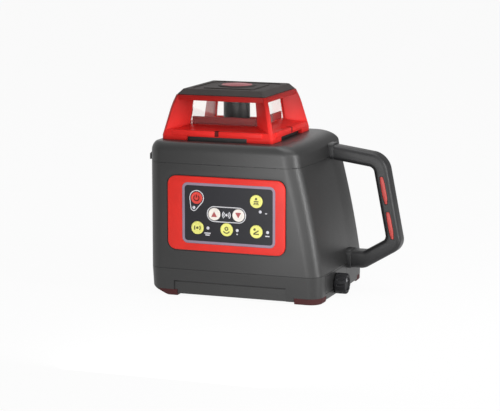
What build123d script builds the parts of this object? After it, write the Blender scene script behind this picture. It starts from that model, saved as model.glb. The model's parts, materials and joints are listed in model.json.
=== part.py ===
from build123d import *
from math import sqrt
import os

# Self-levelling rotary laser level: moulded body, windowed head, gimballed laser tube, keypad,
# carrying handle and battery drawer. Millimetres, X right, Y back, Z up. The origin is the mouth of
# the tripod thread on the rotation axis, level with the soles of the feet.

os.makedirs("parts", exist_ok=True)

# Body envelope, measured from the rotation axis
body_left = 67.0
body_right = 113.0
body_right_top = 89.5
right_swell = 1.6
side_bulge_base = 1.0
side_bulge_top = 5.0
body_depth = 153.0
body_corner = 14.0
wall = 3.0
wall_bands = 4

# Heights of the body above the ground
sole_gap = 2.2
foot_height = 6.2
floor_thickness = 2.0
deck_height = 155.5
cover_height = 20.2
deck_thickness = 3.0
seal_thickness = 0.8
seal_width = 1.8
seal_inset = 0.9

# Base details
base_draft = 1.5
bevel_run = 20.5
bevel_rise = 9.5
foot_width = 20.0
right_foot_width = 26.0
foot_depth = 24.0
panel_recess_left = 40.0
panel_recess_right = 78.7
panel_recess_top = 15.7
panel_recess_depth = 2.4

# Top cover: insets at each height below the deck for the rounded shoulder, and the rib on its left side
shoulder_drops = (9.5, 6.5, 4.0, 2.0, 0.7, 0.0)
shoulder_insets = (0.0, 0.5, 1.4, 2.8, 4.4, 6.2)
right_shoulder_insets = (1.8, 3.0, 5.6, 9.6, 14.8, 20.5)
side_rib_height = 9.2
side_rib_slope = 3.6
side_rib_proud = 3.4
ceiling_inset = 7.2
ceiling_right_inset = 15.0
plinth_inset = 4.0
plinth_rise = 4.0
deck_hole_radius = 26.0

# Screws that hold the housings together
screw_inset_x = 14.0
screw_inset_y = 12.0
screw_radius = 2.0
screw_head_radius = 3.6
screw_head_height = 2.6
screw_head_sink = 1.0
screw_bite = 11.2
cover_screw_bite = 10.1
column_radius = 4.5
column_height = 16.0
rib_thickness = 2.4

# Tripod thread, five eighths of an inch, drawn as its minor bore
thread_radius = 6.8
thread_length = 18.0
insert_radius = 11.0
insert_height = 21.0
insert_flange_radius = 18.0
socket_wall = 4.0

# Head cage
cage_half = 59.0
cage_corner = 4.0
skirt_taper = 1.4
sill_height = 6.2
sill_bar_length = 96.0
sill_bar_height = 5.4
sill_bar_proud = 2.0
sight_notch = 4.0
shelf_inset = 6.0
curb_height = 3.8
skirt_foot_length = 27.0
skirt_foot_gap = 0.3
fin_thickness = 5.0
fin_shoulder_inset = 7.5
fin_shoulder_drop = 4.5
fin_foot_setback = 2.0
fin_top_setback = 2.5
glass_half = 39.0
glass_lean = 3.0
glass_corner = 2.0
post_width = 3.0
window_height = 25.0
pane_thickness = 2.0
screen_height = 7.5
screen_thickness = 2.0
flange_overhang = 12.5
flange_corner = 5.0
flange_thickness = 5.2
head_bore_inset = 3.0
cage_screw_inset = 13.0
cage_screw_radius = 1.75
cage_screw_bite = 9.0

# Roof of the head
roof_inset = 1.5
roof_slope_run = 4.7
roof_corner = 2.0
roof_thickness = 5.8
roof_ring_radius = 19.0
roof_ring_rise = 1.2
roof_pocket_depth = 1.0
roof_pocket_width = 11.0
roof_pocket_margin = 5.0
roof_pocket_length = 60.0
lens_radius = 13.5
lens_ledge = 2.0
lens_seat_depth = 3.0
lens_dome_rise = 1.6

# Keypad on the front wall
frame_inset = 21.8
frame_drop = 11.9
frame_width = 123.9
frame_height = 74.7
frame_corner = 9.0
frame_thickness = 1.6
frame_edge = 0.8
panel_left_margin = 15.6
panel_right_margin = 10.1
panel_top_margin = 6.2
panel_bottom_margin = 7.2
panel_corner = 6.0
panel_thickness = 1.1
cutout_margin = 5.0
cutout_corner = 3.0
board_gap = 4.5
board_thickness = 1.6
board_margin = 2.0
board_post_radius = 2.2
board_post_inset = 3.0
key_proud = 1.0
key_edge = 0.6
key_clearance = 0.2
key_flange = 1.2
key_flange_thickness = 1.2
key_stop_gap = 0.1
key_stem_radius = 3.0
key_travel = 0.5
switch_play = 0.1
switch_size = 6.0
switch_height = 2.4
switch_body_height = 1.8
switch_cap_radius = 1.7

# Places of keys and lamps: the side of the frame to measure from, the distance right of it, the edge to
# measure from, the distance below it, and a key's radius
LEFT, MIDDLE, RIGHT = 0.0, 0.5, 1.0
TOP, BOTTOM = 0.0, 1.0
keys = {
    "power_button": (LEFT, 31.1, TOP, 21.4, 6.0),
    "up_button": (MIDDLE, -12.05, MIDDLE, -0.65, 6.25),
    "down_button": (MIDDLE, 13.35, MIDDLE, -0.75, 6.25),
    "mode_button": (RIGHT, -29.9, TOP, 21.6, 6.5),
    "scan_button": (LEFT, 32.0, BOTTOM, -23.3, 6.5),
    "speed_button": (MIDDLE, 0.95, BOTTOM, -23.1, 6.5),
    "tilt_button": (RIGHT, -29.9, BOTTOM, -23.0, 6.5),
}
lamps = (
    (LEFT, 28.0, TOP, 31.3), (RIGHT, -25.9, TOP, 31.8), (LEFT, 43.0, BOTTOM, -23.5),
    (MIDDLE, 11.95, BOTTOM, -23.0), (RIGHT, -18.2, BOTTOM, -22.9),
)
lamp_radius = 1.6
lamp_proud = 0.4
lamp_length = 4.0

# Carrying handle, a loop in the XZ plane behind the axis
handle_offset = 25.0
handle_width = 20.0
handle_edge = 4.5
handle_clear = 58.0
handle_lean = 0.197
handle_thickness = 15.0
handle_arm_thickness = 13.2
handle_drop = 16.5
handle_top_slope = 0.143
handle_heel_rise = 17.3
handle_heel_share = 0.55
handle_arm_slope = 0.6
handle_root_below = 6.2
handle_root_above = 11.8
handle_outer_radius = 20.0
handle_heel_radius = 13.0
handle_inner_radius = 6.0
handle_groove_depth = 1.2
handle_inlay_width = 4.6
handle_inlay_top_width = 3.2
handle_inlay_tip_width = 2.3
handle_inlay_taper = 8.0
handle_inlay_gap = 5.0
handle_inlay_top_margin = 17.0
handle_inlay_bottom_margin = 14.0
handle_inlay_recess = 0.2
collar_rise = 1.2
collar_length = 5.0
collar_edge = 0.95
root_screw_drop = 1.0
handle_screw_spacing = 9.0
handle_screw_radius = 1.9
handle_screw_head_radius = 3.4
handle_screw_head_height = 2.4
handle_screw_bite = 12.0
spot_face = 1.2
spot_face_clearance = 0.2

# Battery drawer and its thumbscrew
bay_side_gap = 2.4
knob_rise = 4.4
knob_radius = 10.5
knob_length = 11.4
knob_gap = 0.5
knob_flutes = 12
knob_flute_radius = 1.6
knob_flute_out = 0.8
knob_plain_length = 2.85
knob_edge = 1.0
knob_dish_radius = 6.5
knob_dish_depth = 1.0
thumbscrew_radius = 2.5
running_clearance = 0.05
drawer_clearance = 0.4
drawer_sheet = 1.2
drawer_side_height = 11.0
door_top_margin = 2.2
cell_radius = 7.1
cell_headroom = 1.5
cell_length = 49.5
cell_nub_radius = 2.7
cell_nub_length = 1.2
contact_thickness = 0.5
screw_channel = 7.6
bay_sheet = 1.6
bay_boss_length = 8.0
bay_boss_radius = 4.5

# Gimbal and levelling drive
pivot_drop = 51.5
plate_gap = 1.5
plate_thickness = 5.0
plate_margin = 10.0
plate_side_gap = 15.0
plate_front = 48.0
leg_radius = 4.5
leg_inset = 8.0
leg_gap = 6.6
upright_gap = 4.5
upright_thickness = 5.0
upright_width = 24.0
upright_over_pivot = 6.0
ring_gap = 6.0
ring_width = 7.0
ring_height = 10.0
ring_pin_radius = 2.5
tube_pin_radius = 2.0
tube_pin_wall = 2.0
pin_end_play = 1.0
pin_bite = 3.0
ring_lever_margin = 30.5
ball_reach = 5.5
plunger_offset = 8.0
ball_radius = 2.2
ball_play = 0.12
ball_stem_radius = 1.4
lever_bar = 4.0
lever_bar_lift = 20.0
lever_drop = 3.0
lever_drop_gap = 5.0
lever_bite = 2.0
spool_neck = 4.0
spool_radius = 10.0
spool_lip = 1.5
plunger_radius = 2.5
plunger_bottom = 7.0
actuator_size = 16.0
actuator_height = 23.0
actuator_floor = 2.0
actuator_boss_radius = 5.6
actuator_boss_height = 2.0

# Laser tube and its optics
tube_radius = 17.0
tube_swing_gap = 9.0
tube_flange_thickness = 3.0
tube_flange_rim = 3.0
module_radius = 8.0
module_lens_gap = 12.0
lens_disc_radius = 10.0
lens_disc_thickness = 4.0
lens_disc_below = 4.0
beam_radius = 3.5
sensor_size = 9.0
sensor_length = 18.0

# Spindle, belt drive and rotor
spindle_radius = 6.0
spindle_start = 9.0
bearing_radius = 9.5
bearing_width = 5.0
bearing_margin = 2.0
bearing_clearance = 0.03
drive_headroom = 5.5
pulley_gap = 0.6
pulley_width = 6.4
pulley_rim = 1.2
rotor_pulley_radius = 13.0
motor_pulley_radius = 5.0
rim_rise = 1.6
belt_thickness = 1.2
belt_clearance = 0.1
motor_offset = 30.0
motor_radius = 8.0
motor_gap = 5.0
motor_flange_margin = 2.0
motor_shaft_radius = 1.5
motor_shaft_play = 0.5
motor_shaft_gap = 0.1
rotor_radius = 13.5
rotor_lift = 2.5
rotor_height = 21.0
rotor_wall = 1.8
rotor_edge = 1.0
rotor_floor = 3.0
rotor_spigot = 4.0
rotor_pad_rim = 2.0
rotor_pad_height = 1.5
exit_window_radius = 5.5
exit_window_recess = 0.4
prism_half = 7.5
prism_half_width = 5.6
prism_headroom = 1.7
prism_cut = 5.2

# Main board on the back wall
main_board_left = -38.0
main_board_right = 58.0
main_board_bottom = 56.0
main_board_drop = 16.5
main_board_gap = 6.0
chip_height = 2.5
chips = ((0.3, 0.6, 14.0), (0.62, 0.55, 10.0), (0.45, 0.25, 9.0), (0.75, 0.3, 12.0))

# Levels worked out from the sizes above
half_depth = body_depth / 2
base_floor = foot_height + floor_thickness
door_bottom = base_floor + drawer_clearance
drawer_floor_top = door_bottom + drawer_sheet
door_top = drawer_floor_top + 2 * cell_radius + cell_headroom
base_top = door_top + door_top_margin
main_bottom = base_top + seal_thickness
cover_bottom = deck_height - cover_height
cover_seam = cover_bottom - seal_thickness
deck_underside = deck_height - deck_thickness
plinth_top = deck_height + plinth_rise
sill_top = plinth_top + sill_height
curb_top = sill_top + curb_height
flange_bottom = curb_top + window_height
flange_top = flange_bottom + flange_thickness
roof_top = flange_top + roof_thickness
rotor_bottom = curb_top + rotor_lift

# Head widths that follow the cage and the glass
plinth_half = cage_half - plinth_inset
shelf_half = cage_half - shelf_inset
fin_shoulder_half = cage_half - fin_shoulder_inset
cage_screw_offset = cage_half - cage_screw_inset
glass_top_half = glass_half - glass_lean
window_half = glass_half - post_width
window_top_half = glass_top_half - post_width
head_bore_half = glass_top_half - head_bore_inset
flange_half = glass_top_half + flange_overhang
roof_half = flange_half - roof_inset
roof_top_half = roof_half - roof_slope_run

# Keypad places
frame_left = -body_left + frame_inset
frame_top = cover_seam - frame_drop
panel_width = frame_width - panel_left_margin - panel_right_margin
panel_height = frame_height - panel_top_margin - panel_bottom_margin
main_board_top = cover_seam - main_board_drop

# Handle places
handle_reach = body_right + handle_clear
handle_top = deck_height - handle_drop
handle_bottom = base_top + handle_heel_rise
handle_root_bottom = base_top - handle_root_below
handle_root_top = base_top + handle_root_above
handle_inlay_start = handle_top - handle_inlay_top_margin
handle_inlay_span = handle_inlay_start - handle_bottom - handle_inlay_bottom_margin
handle_inlay_length = (handle_inlay_span - handle_inlay_gap) / 2

# Drawer places
channel_half = screw_channel / 2
drawer_half = channel_half + 2 * drawer_sheet + 4 * cell_radius
bay_half = drawer_half + drawer_clearance
bay_front = -half_depth + screw_inset_y + column_radius + bay_side_gap
knob_place = bay_front + bay_sheet + bay_half
knob_height = door_bottom + knob_rise
door_back = body_right - wall
cells_end = door_back - contact_thickness
cells_start = cells_end - cell_length - cell_nub_length
drawer_end = cells_start - contact_thickness - drawer_sheet
bay_end = drawer_end - drawer_clearance
wall_outside = body_right + side_bulge_base

# Gimbal, tube and drive places
pivot_height = deck_height - pivot_drop
plate_height = main_bottom + column_height + plate_gap
plate_top = plate_height + plate_thickness
plate_left = body_left - plate_side_gap
leg_right = bay_end - bay_sheet - leg_gap - leg_radius
ring_inner_radius = tube_radius + ring_gap
ring_outer_radius = ring_inner_radius + ring_width
upright_inner = ring_outer_radius + upright_gap
lever_drop_place = upright_inner + upright_thickness + lever_drop_gap
ring_lever = half_depth - ring_lever_margin
tube_lever = lever_drop_place + ball_reach
tube_bottom = plate_top + tube_swing_gap
tube_flange_radius = tube_radius + tube_flange_rim
pulley_bottom = deck_underside - drive_headroom - pulley_width
flange_face = pulley_bottom - pulley_gap
tube_top = flange_face - tube_flange_thickness
lens_disc_bottom = pivot_height - lens_disc_below - lens_disc_thickness
module_length = lens_disc_bottom - module_lens_gap - tube_bottom
sensor_middle = (tube_bottom + pivot_height - ring_height / 2) / 2
spindle_bottom = pivot_height + spindle_start
motor_bottom = pivot_height + upright_over_pivot + motor_gap
prism_floor = rotor_bottom + rotor_floor + rotor_pad_height
prism_height = rotor_bottom + rotor_height - rotor_wall - prism_headroom - prism_floor

# Lengths by which cuts run past what they cut
margin = 10.0
cut_over = 1.0

FROM_BELOW = (Align.CENTER, Align.CENTER, Align.MIN)
FROM_CORNER = (Align.MIN, Align.MIN, Align.MIN)
front_face = Plane(origin=(0, -half_depth, 0), x_dir=(1, 0, 0), z_dir=(0, -1, 0))
pieces = {}


# Shared shapes

def block(x0, x1, y0, y1, z0, z1):
    """Box between two corners."""
    return Pos(x0, y0, z0) * Box(x1 - x0, y1 - y0, z1 - z0, align=FROM_CORNER)


def post(x, y, z, radius, height):
    """Upright cylinder standing on a point."""
    return Pos(x, y, z) * Cylinder(radius, height, align=FROM_BELOW)


def rod_x(x, y, z, radius, length):
    """Cylinder running to the right from a point."""
    return Pos(x, y, z) * Rot(0, 90, 0) * Cylinder(radius, length, align=FROM_BELOW)


def rod_y(x, y, z, radius, length):
    """Cylinder running to the back from a point."""
    return Pos(x, y, z) * Rot(-90, 0, 0) * Cylinder(radius, length, align=FROM_BELOW)


def on_front(sketch, x, z, start, end):
    """Sketch set on the front wall at x, z and extruded between two distances outside it."""
    return extrude(front_face * Pos(x, z, start) * sketch, amount=end - start)


def square(half, corner, z):
    """Rounded square about the axis at a height."""
    return Pos(0, 0, z) * RectangleRounded(2 * half, 2 * half, corner)


def around_axis(shape):
    """The shape and its three copies at right angles about the axis."""
    return [Rot(0, 0, turn) * shape for turn in (0, 90, 180, 270)]


# Outline of the body

def climb(z):
    """Share of the way from the base seam to the cover seam."""
    return (z - base_top) / (cover_seam - base_top)


def right_wall(z):
    """Distance from the axis to the leaning right wall's corner line at a height."""
    t = climb(z)
    return body_right + (body_right_top - body_right) * t + right_swell * 4 * t * (1 - t)


def side_bulge(z):
    """Bow of the right wall in plan at a height."""
    return side_bulge_base + (side_bulge_top - side_bulge_base) * climb(z)


def body_plan(z, inset=0.0, right_inset=None, shape_z=None):
    """Plan outline of the body, drawn in by inset, with the shape that it has at shape_z."""
    shape_z = z if shape_z is None else shape_z
    side = inset if right_inset is None else right_inset
    x0 = -body_left + inset
    x1 = right_wall(shape_z) - side
    y1 = half_depth - inset
    outline = make_face([
        Line((x0, -y1), (x1, -y1)),
        ThreePointArc((x1, -y1), (x1 + side_bulge(shape_z), 0), (x1, y1)),
        Line((x1, y1), (x0, y1)),
        Line((x0, y1), (x0, -y1)),
    ])
    return Pos(0, 0, z) * fillet(outline.vertices(), body_corner - inset)


def leaning_body(low, high, inset=0.0):
    """Solid of the body between two heights, drawn in by inset."""
    band = (high - low) / wall_bands
    plans = [body_plan(low + band * step, inset) for step in range(wall_bands + 1)]
    return loft(plans, ruled=True)


def bevel_wedge(lift):
    """Wedge that bevels the lower left edge, raised by lift."""
    slope = bevel_rise / bevel_run
    outer = -body_left - margin
    foot = -body_left + bevel_run + (lift + margin) / slope
    profile = Polygon(
        (outer, -margin), (foot, -margin), (outer, bevel_rise + lift + margin * slope), align=None)
    return extrude(Plane.XZ * profile, amount=body_depth, both=True)


def drafted_base(low, inset=0.0):
    """Base from a height up to its seam, drawn in by inset; all sides but the right taper to the ground."""
    draft = base_draft * (1 - low / base_top)
    plans = [body_plan(low, inset + draft, inset, base_top), body_plan(base_top, inset)]
    return loft(plans, ruled=True)


def base_envelope():
    """Outside of the base, with feet, as one solid."""
    return drafted_base(0) - bevel_wedge(0)


def foot_blocks():
    """Corner boxes that hold the four feet."""
    left = -body_left + bevel_run
    rows = ((-half_depth, -half_depth + foot_depth), (half_depth - foot_depth, half_depth))
    boxes = []
    for y0, y1 in rows:
        boxes.append(block(left - foot_width / 2, left + foot_width / 2, y0, y1, 0, foot_height))
        boxes.append(block(body_right - right_foot_width, body_right + margin, y0, y1, 0, foot_height))
    return boxes


def cover_outline():
    """Solid of the top cover with its rounded shoulders."""
    plans = [body_plan(cover_bottom)]
    for drop, inset, side in zip(shoulder_drops, shoulder_insets, right_shoulder_insets):
        plans.append(body_plan(deck_height - drop, inset, side, cover_bottom))
    return loft(plans, ruled=True)


def side_rib():
    """Rib along the left side of the cover, sloping at its top."""
    root = -body_left + wall / 2
    outer = -body_left - side_rib_proud
    top = cover_bottom + side_rib_height
    profile = Polygon((root, cover_bottom), (outer, cover_bottom), (outer, top - side_rib_slope),
                      (-body_left, top), (root, top), align=None)
    return extrude(Plane.XZ * profile, amount=half_depth - body_corner, both=True)


base_outside = base_envelope()
main_outside = leaning_body(main_bottom, cover_seam)
cover_outside = cover_outline()
base_screws = [(x, y) for x in (-body_left + screw_inset_x, body_right - screw_inset_x)
               for y in (-half_depth + screw_inset_y, half_depth - screw_inset_y)]
cover_screws = [(x, y) for x in (-body_left + screw_inset_x, body_right_top - screw_inset_x)
                for y in (-half_depth + screw_inset_y, half_depth - screw_inset_y)]


# Feet, tripod insert, seals and housing screws

def rubber_feet():
    return [base_outside & box for box in foot_blocks()]


def tripod_insert():
    body = post(0, 0, sole_gap, insert_radius, insert_height - sole_gap)
    body += post(0, 0, 0, insert_flange_radius, sole_gap)
    return body - post(0, 0, 0, thread_radius, thread_length)


def seal_ring(z, shape_z):
    outer = body_plan(z, seal_inset, shape_z=shape_z)
    inner = body_plan(z, seal_inset + seal_width, shape_z=shape_z)
    return extrude(outer - inner, amount=seal_thickness)


def housing_screw(x, y, shoulder, length):
    head = post(x, y, shoulder - screw_head_height, screw_head_radius, screw_head_height)
    return head + post(x, y, shoulder, screw_radius, length)


base_shoulder = foot_height + screw_head_sink + screw_head_height
base_screw_length = main_bottom + screw_bite - base_shoulder
cover_shoulder = cover_seam - column_height
cover_screw_length = column_height + cover_screw_bite
housing_screws = [housing_screw(x, y, base_shoulder, base_screw_length) for x, y in base_screws]
housing_screws += [housing_screw(x, y, cover_shoulder, cover_screw_length) for x, y in cover_screws]
pieces["rubber_feet"] = rubber_feet()
pieces["tripod_insert"] = [tripod_insert()]
pieces["housing_seals"] = [seal_ring(base_top, base_top), seal_ring(cover_seam, cover_seam)]
pieces["housing_screws"] = housing_screws


# Battery drawer, thumbscrew and bay

cell_places = [knob_place + side * (channel_half + drawer_sheet + cell_radius * turn)
               for side in (-1, 1) for turn in (1, 3)]


def battery_tray():
    door = base_outside & block(
        door_back, wall_outside + margin, knob_place - drawer_half, knob_place + drawer_half,
        door_bottom, door_top)
    low, high = knob_place - drawer_half, knob_place + drawer_half
    side_top = door_bottom + drawer_side_height
    pan = block(drawer_end, door_back, low, high, door_bottom, side_top)
    pan -= block(drawer_end + drawer_sheet, door_back, low + drawer_sheet,
                 knob_place - channel_half - drawer_sheet, drawer_floor_top, side_top)
    pan -= block(drawer_end + drawer_sheet, door_back, knob_place + channel_half + drawer_sheet,
                 high - drawer_sheet, drawer_floor_top, side_top)
    pan -= block(drawer_end, door_back, knob_place - channel_half, knob_place + channel_half,
                 drawer_floor_top, side_top)
    tray = door + pan
    hole_radius = thumbscrew_radius + running_clearance
    hole_length = wall_outside + margin - drawer_end
    return tray - rod_x(drawer_end, knob_place, knob_height, hole_radius, hole_length)


def battery_cell(y):
    z = drawer_floor_top + cell_radius
    return rod_x(cells_start, y, z, cell_radius, cell_length) + rod_x(
        cells_start + cell_length, y, z, cell_nub_radius, cell_nub_length)


def contact_plate(x, side):
    inner = knob_place + side * (channel_half + drawer_sheet)
    outer = knob_place + side * (drawer_half - drawer_sheet)
    top = door_bottom + drawer_side_height
    return block(x, x + contact_thickness, min(inner, outer), max(inner, outer), drawer_floor_top, top)


def lock_knob():
    back = wall_outside + knob_gap
    knob = rod_x(back, knob_place, knob_height, knob_radius, knob_length)
    knob = chamfer(knob.edges().group_by(Axis.X)[-1], knob_edge)
    grip = Pos(back + knob_plain_length, knob_place, knob_height) * Rot(0, 90, 0)
    for flute in PolarLocations(knob_radius + knob_flute_out, knob_flutes):
        knob -= grip * flute * Cylinder(knob_flute_radius, knob_length, align=FROM_BELOW)
    face = back + knob_length
    knob -= rod_x(face - knob_dish_depth, knob_place, knob_height, knob_dish_radius, margin)
    tip = bay_end - bay_boss_length + bay_sheet
    return knob + rod_x(tip, knob_place, knob_height, thumbscrew_radius, back - tip)


def battery_bay():
    top = door_top + drawer_clearance
    low, high = knob_place - bay_half, knob_place + bay_half
    bay = block(bay_end - bay_sheet, door_back, low - bay_sheet, high + bay_sheet,
                base_floor, top + bay_sheet)
    bay -= block(bay_end, door_back, low, high, base_floor, top)
    bay += rod_x(bay_end - bay_boss_length, knob_place, knob_height, bay_boss_radius, bay_boss_length)
    return bay - rod_x(bay_end - bay_boss_length, knob_place, knob_height,
                       thumbscrew_radius + running_clearance, bay_boss_length)


pieces["battery_tray"] = [battery_tray()]
pieces["battery_cells"] = [battery_cell(y) for y in cell_places]
pieces["battery_contacts"] = [contact_plate(x, side) for x in (drawer_end + drawer_sheet, cells_end)
                              for side in (-1, 1)]
pieces["lock_knob"] = [lock_knob()]
pieces["battery_bay"] = [battery_bay()]


# Housings

def base_housing():
    shell = base_outside - block(-body_left - margin, wall_outside + margin, -half_depth - margin,
                                 half_depth + margin, 0, sole_gap)
    for box in foot_blocks():
        shell -= box
    shell -= drafted_base(base_floor, wall) - bevel_wedge(wall)
    for x, y in base_screws:
        shell += post(x, y, base_floor, column_radius, base_top - base_floor)
    shell += post(0, 0, sole_gap, insert_radius + socket_wall, insert_height - sole_gap)
    shell -= post(0, 0, sole_gap, insert_radius, insert_height - sole_gap)
    for x, y in base_screws:
        shell -= post(x, y, foot_height, screw_head_radius, base_shoulder - foot_height)
        shell -= post(x, y, base_shoulder, screw_radius, base_top - base_shoulder)
    shell -= block(door_back - wall, wall_outside + margin, knob_place - bay_half, knob_place + bay_half,
                   base_floor, door_top + drawer_clearance)
    width = panel_recess_left + panel_recess_right
    shell -= on_front(Rectangle(width, panel_recess_top, align=(Align.MIN, Align.MIN)),
                      -panel_recess_left, 0, -panel_recess_depth, margin)
    return shell


frame_x = frame_left + frame_width / 2
frame_z = frame_top - frame_height / 2
panel_x = frame_left + panel_left_margin + panel_width / 2
panel_z = frame_top - panel_top_margin - panel_height / 2
cutout_width = panel_width - 2 * cutout_margin
cutout_height = panel_height - 2 * cutout_margin
board_front = -half_depth + wall + board_gap
board_width = panel_width + 2 * board_margin
board_height = panel_height + 2 * board_margin
board_posts = [(panel_x + side * (board_width / 2 - board_post_inset), panel_z + end * (
    board_height / 2 - board_post_inset)) for side in (-1, 1) for end in (-1, 1)]
main_board_back = half_depth - wall - main_board_gap
main_posts = [(x, z) for x in (main_board_left + board_post_inset, main_board_right - board_post_inset)
              for z in (main_board_bottom + board_post_inset, main_board_top - board_post_inset)]


def screw_column(x, y, z):
    """Column for a housing screw, with a rib to the front or back wall."""
    column = post(x, y, z, column_radius, column_height)
    reach = half_depth - wall / 2
    low, high = (y, reach) if y > 0 else (-reach, y)
    return column + block(x - rib_thickness / 2, x + rib_thickness / 2, low, high, z, z + column_height)


def main_housing():
    shell = main_outside - leaning_body(main_bottom - cut_over, cover_seam + cut_over, wall)
    shell -= on_front(RectangleRounded(cutout_width, cutout_height, cutout_corner),
                      panel_x, panel_z, -wall - cut_over, cut_over)
    for x, z in board_posts:
        shell += rod_y(x, -half_depth + wall, z, board_post_radius, board_gap)
    for x, z in main_posts:
        shell += rod_y(x, main_board_back, z, board_post_radius, main_board_gap)
    for x, y in base_screws:
        shell += screw_column(x, y, main_bottom)
    for x, y in cover_screws:
        shell += screw_column(x, y, cover_seam - column_height)
    for screw in housing_screws:
        shell -= screw
    return shell


def top_cover():
    shell = cover_outside
    ceiling = deck_underside
    shell -= loft([body_plan(cover_bottom, wall),
                   body_plan(ceiling - wall, wall + shoulder_insets[1], wall + right_shoulder_insets[2],
                             cover_bottom),
                   body_plan(ceiling, ceiling_inset, ceiling_right_inset, cover_bottom)],
                  ruled=True)
    shell += side_rib()
    shell += extrude(square(plinth_half, cage_corner, deck_height), amount=plinth_rise)
    for x, y in cover_screws:
        shell += post(x, y, cover_bottom, column_radius, ceiling - cover_bottom)
    for screw in housing_screws:
        shell -= screw
    return shell - post(0, 0, cover_bottom, deck_hole_radius, plinth_top - cover_bottom)


base_part = base_housing()
main_part = main_housing()
cover_part = top_cover()


# Carrying handle

def grip_line(z, offset):
    """Place along X of the handle's outer line at height z, set inwards by offset."""
    return handle_reach - offset * sqrt(1 + handle_lean ** 2) - handle_lean * (z - handle_bottom)


def handle_band(inward, top_drop, root_low, radii):
    """Closed face of the handle's loop out to one of its two lines."""
    start = body_right_top - wall - margin
    corner_z = handle_top - top_drop
    corner_x = grip_line(corner_z, inward)
    heel_z = handle_bottom + inward * handle_heel_share
    heel_x = grip_line(heel_z, inward)
    knee_x = heel_x - (heel_z - root_low) / handle_arm_slope
    points = [
        (start, arm_line(start, inward, top_drop)),
        (corner_x, corner_z), (heel_x, heel_z), (knee_x, root_low), (start, root_low),
    ]
    face = make_face(Polyline(*points, close=True))
    for (x, z), radius in zip(points[1:4], radii):
        face = fillet(face.vertices().sort_by_distance(Vector(x, z, 0))[0], radius)
    return face


def handle_loop():
    outer = handle_band(0.0, 0.0, handle_root_bottom,
                        (handle_outer_radius, handle_heel_radius, handle_heel_radius))
    inner = handle_band(handle_thickness, handle_arm_thickness, handle_root_top,
                        (handle_inner_radius, handle_inner_radius, handle_inner_radius))
    loop = extrude(Plane.XZ * (outer - inner), amount=handle_width / 2, both=True)
    long_edges = loop.edges().filter_by(Axis.Y, reverse=True)
    sides = long_edges.filter_by_position(Axis.X, body_right, handle_reach + margin)
    return Pos(0, handle_offset, 0) * fillet(sides, handle_edge)


def arm_line(x, inward, drop):
    """Height of the upper arm's line at x, for the line set inwards and dropped."""
    corner_z = handle_top - drop
    return corner_z + handle_top_slope * (grip_line(corner_z, inward) - x)


def root_collar(x, low, high):
    """Raised collar round the handle where it meets the wall at x."""
    width = handle_width + 2 * collar_rise
    height = high - low + 2 * collar_rise
    box = Pos(x, handle_offset, (low + high) / 2) * Box(2 * collar_length, width, height)
    box = fillet(box.edges().filter_by(Axis.X), handle_edge)
    return fillet(box.faces().sort_by(Axis.X)[-1].edges(), collar_edge)


def grip_place(z):
    """Middle of the grip at a height."""
    return grip_line(z, handle_thickness / 2)


def inlay(start, side, depth):
    """Pointed inlay let into one side of the grip, running down from start."""
    end = start - handle_inlay_length
    widths = ((start, handle_inlay_top_width), (start - handle_inlay_taper, handle_inlay_width),
              (end + handle_inlay_taper, handle_inlay_width), (end, handle_inlay_tip_width))
    right = [(grip_place(z) + width / 2, z) for z, width in widths]
    left = [(grip_place(z) - width / 2, z) for z, width in reversed(widths)]
    shape = make_face(Polyline(*right, *left, close=True))
    face_y = handle_offset + side * handle_width / 2
    solid = extrude(Plane.XZ * shape, amount=depth / 2, both=True)
    return Pos(0, face_y - side * depth / 2, 0) * solid


inlay_starts = (handle_inlay_start, handle_inlay_start - handle_inlay_length - handle_inlay_gap)
inlay_places = [(start, side) for side in (-1, 1) for start in inlay_starts]
top_root_z = (cover_bottom + deck_height - shoulder_drops[0]) / 2
bottom_root_z = (main_bottom + handle_root_top) / 2 - root_screw_drop
root_seats = ((top_root_z, right_wall(cover_bottom) + side_bulge(cover_bottom) - wall),
              (bottom_root_z, right_wall(bottom_root_z) + side_bulge(bottom_root_z) - wall))


def handle_screw(z, seat, y):
    """Screw from inside the wall into the handle's root."""
    place = seat - spot_face
    length = wall + spot_face + handle_screw_bite
    head_x = place - handle_screw_head_height
    head = rod_x(head_x, y, z, handle_screw_head_radius, handle_screw_head_height)
    return head + rod_x(place, y, z, handle_screw_radius, length)


handle_screws = [handle_screw(z, seat, handle_offset + side * handle_screw_spacing / 2)
                 for z, seat in root_seats for side in (-1, 1)]
spot_radius = handle_screw_head_radius + spot_face_clearance
spot_cuts = [rod_x(seat - spot_face - margin, handle_offset + side * handle_screw_spacing / 2, z,
                   spot_radius, margin) for z, seat in root_seats for side in (-1, 1)]


def handle():
    loop = handle_loop()
    for z, seat in root_seats:
        x = seat + wall
        upper = z > pivot_height
        low = arm_line(x, handle_thickness, handle_arm_thickness) if upper else handle_root_bottom
        high = arm_line(x, 0, 0) if upper else handle_root_top
        loop += root_collar(x, low, high)
    for outside in (base_outside, main_outside, cover_outside):
        loop -= outside
    for seam in (base_top, cover_seam):
        loop -= extrude(body_plan(seam), amount=seal_thickness)
    for start, side in inlay_places:
        loop -= inlay(start, side, handle_groove_depth)
    for screw in handle_screws:
        loop -= screw
    return loop


for cut in spot_cuts + handle_screws:
    main_part -= cut
    cover_part -= cut
pieces["base_housing"] = [base_part]
pieces["main_housing"] = [main_part]
pieces["top_cover"] = [cover_part]
pieces["handle"] = [handle()]
inlay_depth = handle_groove_depth - handle_inlay_recess / 2
pieces["handle_inlays"] = [Pos(0, -side * handle_inlay_recess / 2, 0) * inlay(start, side, inlay_depth)
                           for start, side in inlay_places]
pieces["handle_screws"] = handle_screws


# Keypad

def key_spot(across_from, right, down_from, down):
    """Place on the front wall, from the chosen side and edge of the frame."""
    x = frame_left + across_from * frame_width + right
    z = frame_top - down_from * frame_height - down
    return x, z


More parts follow.
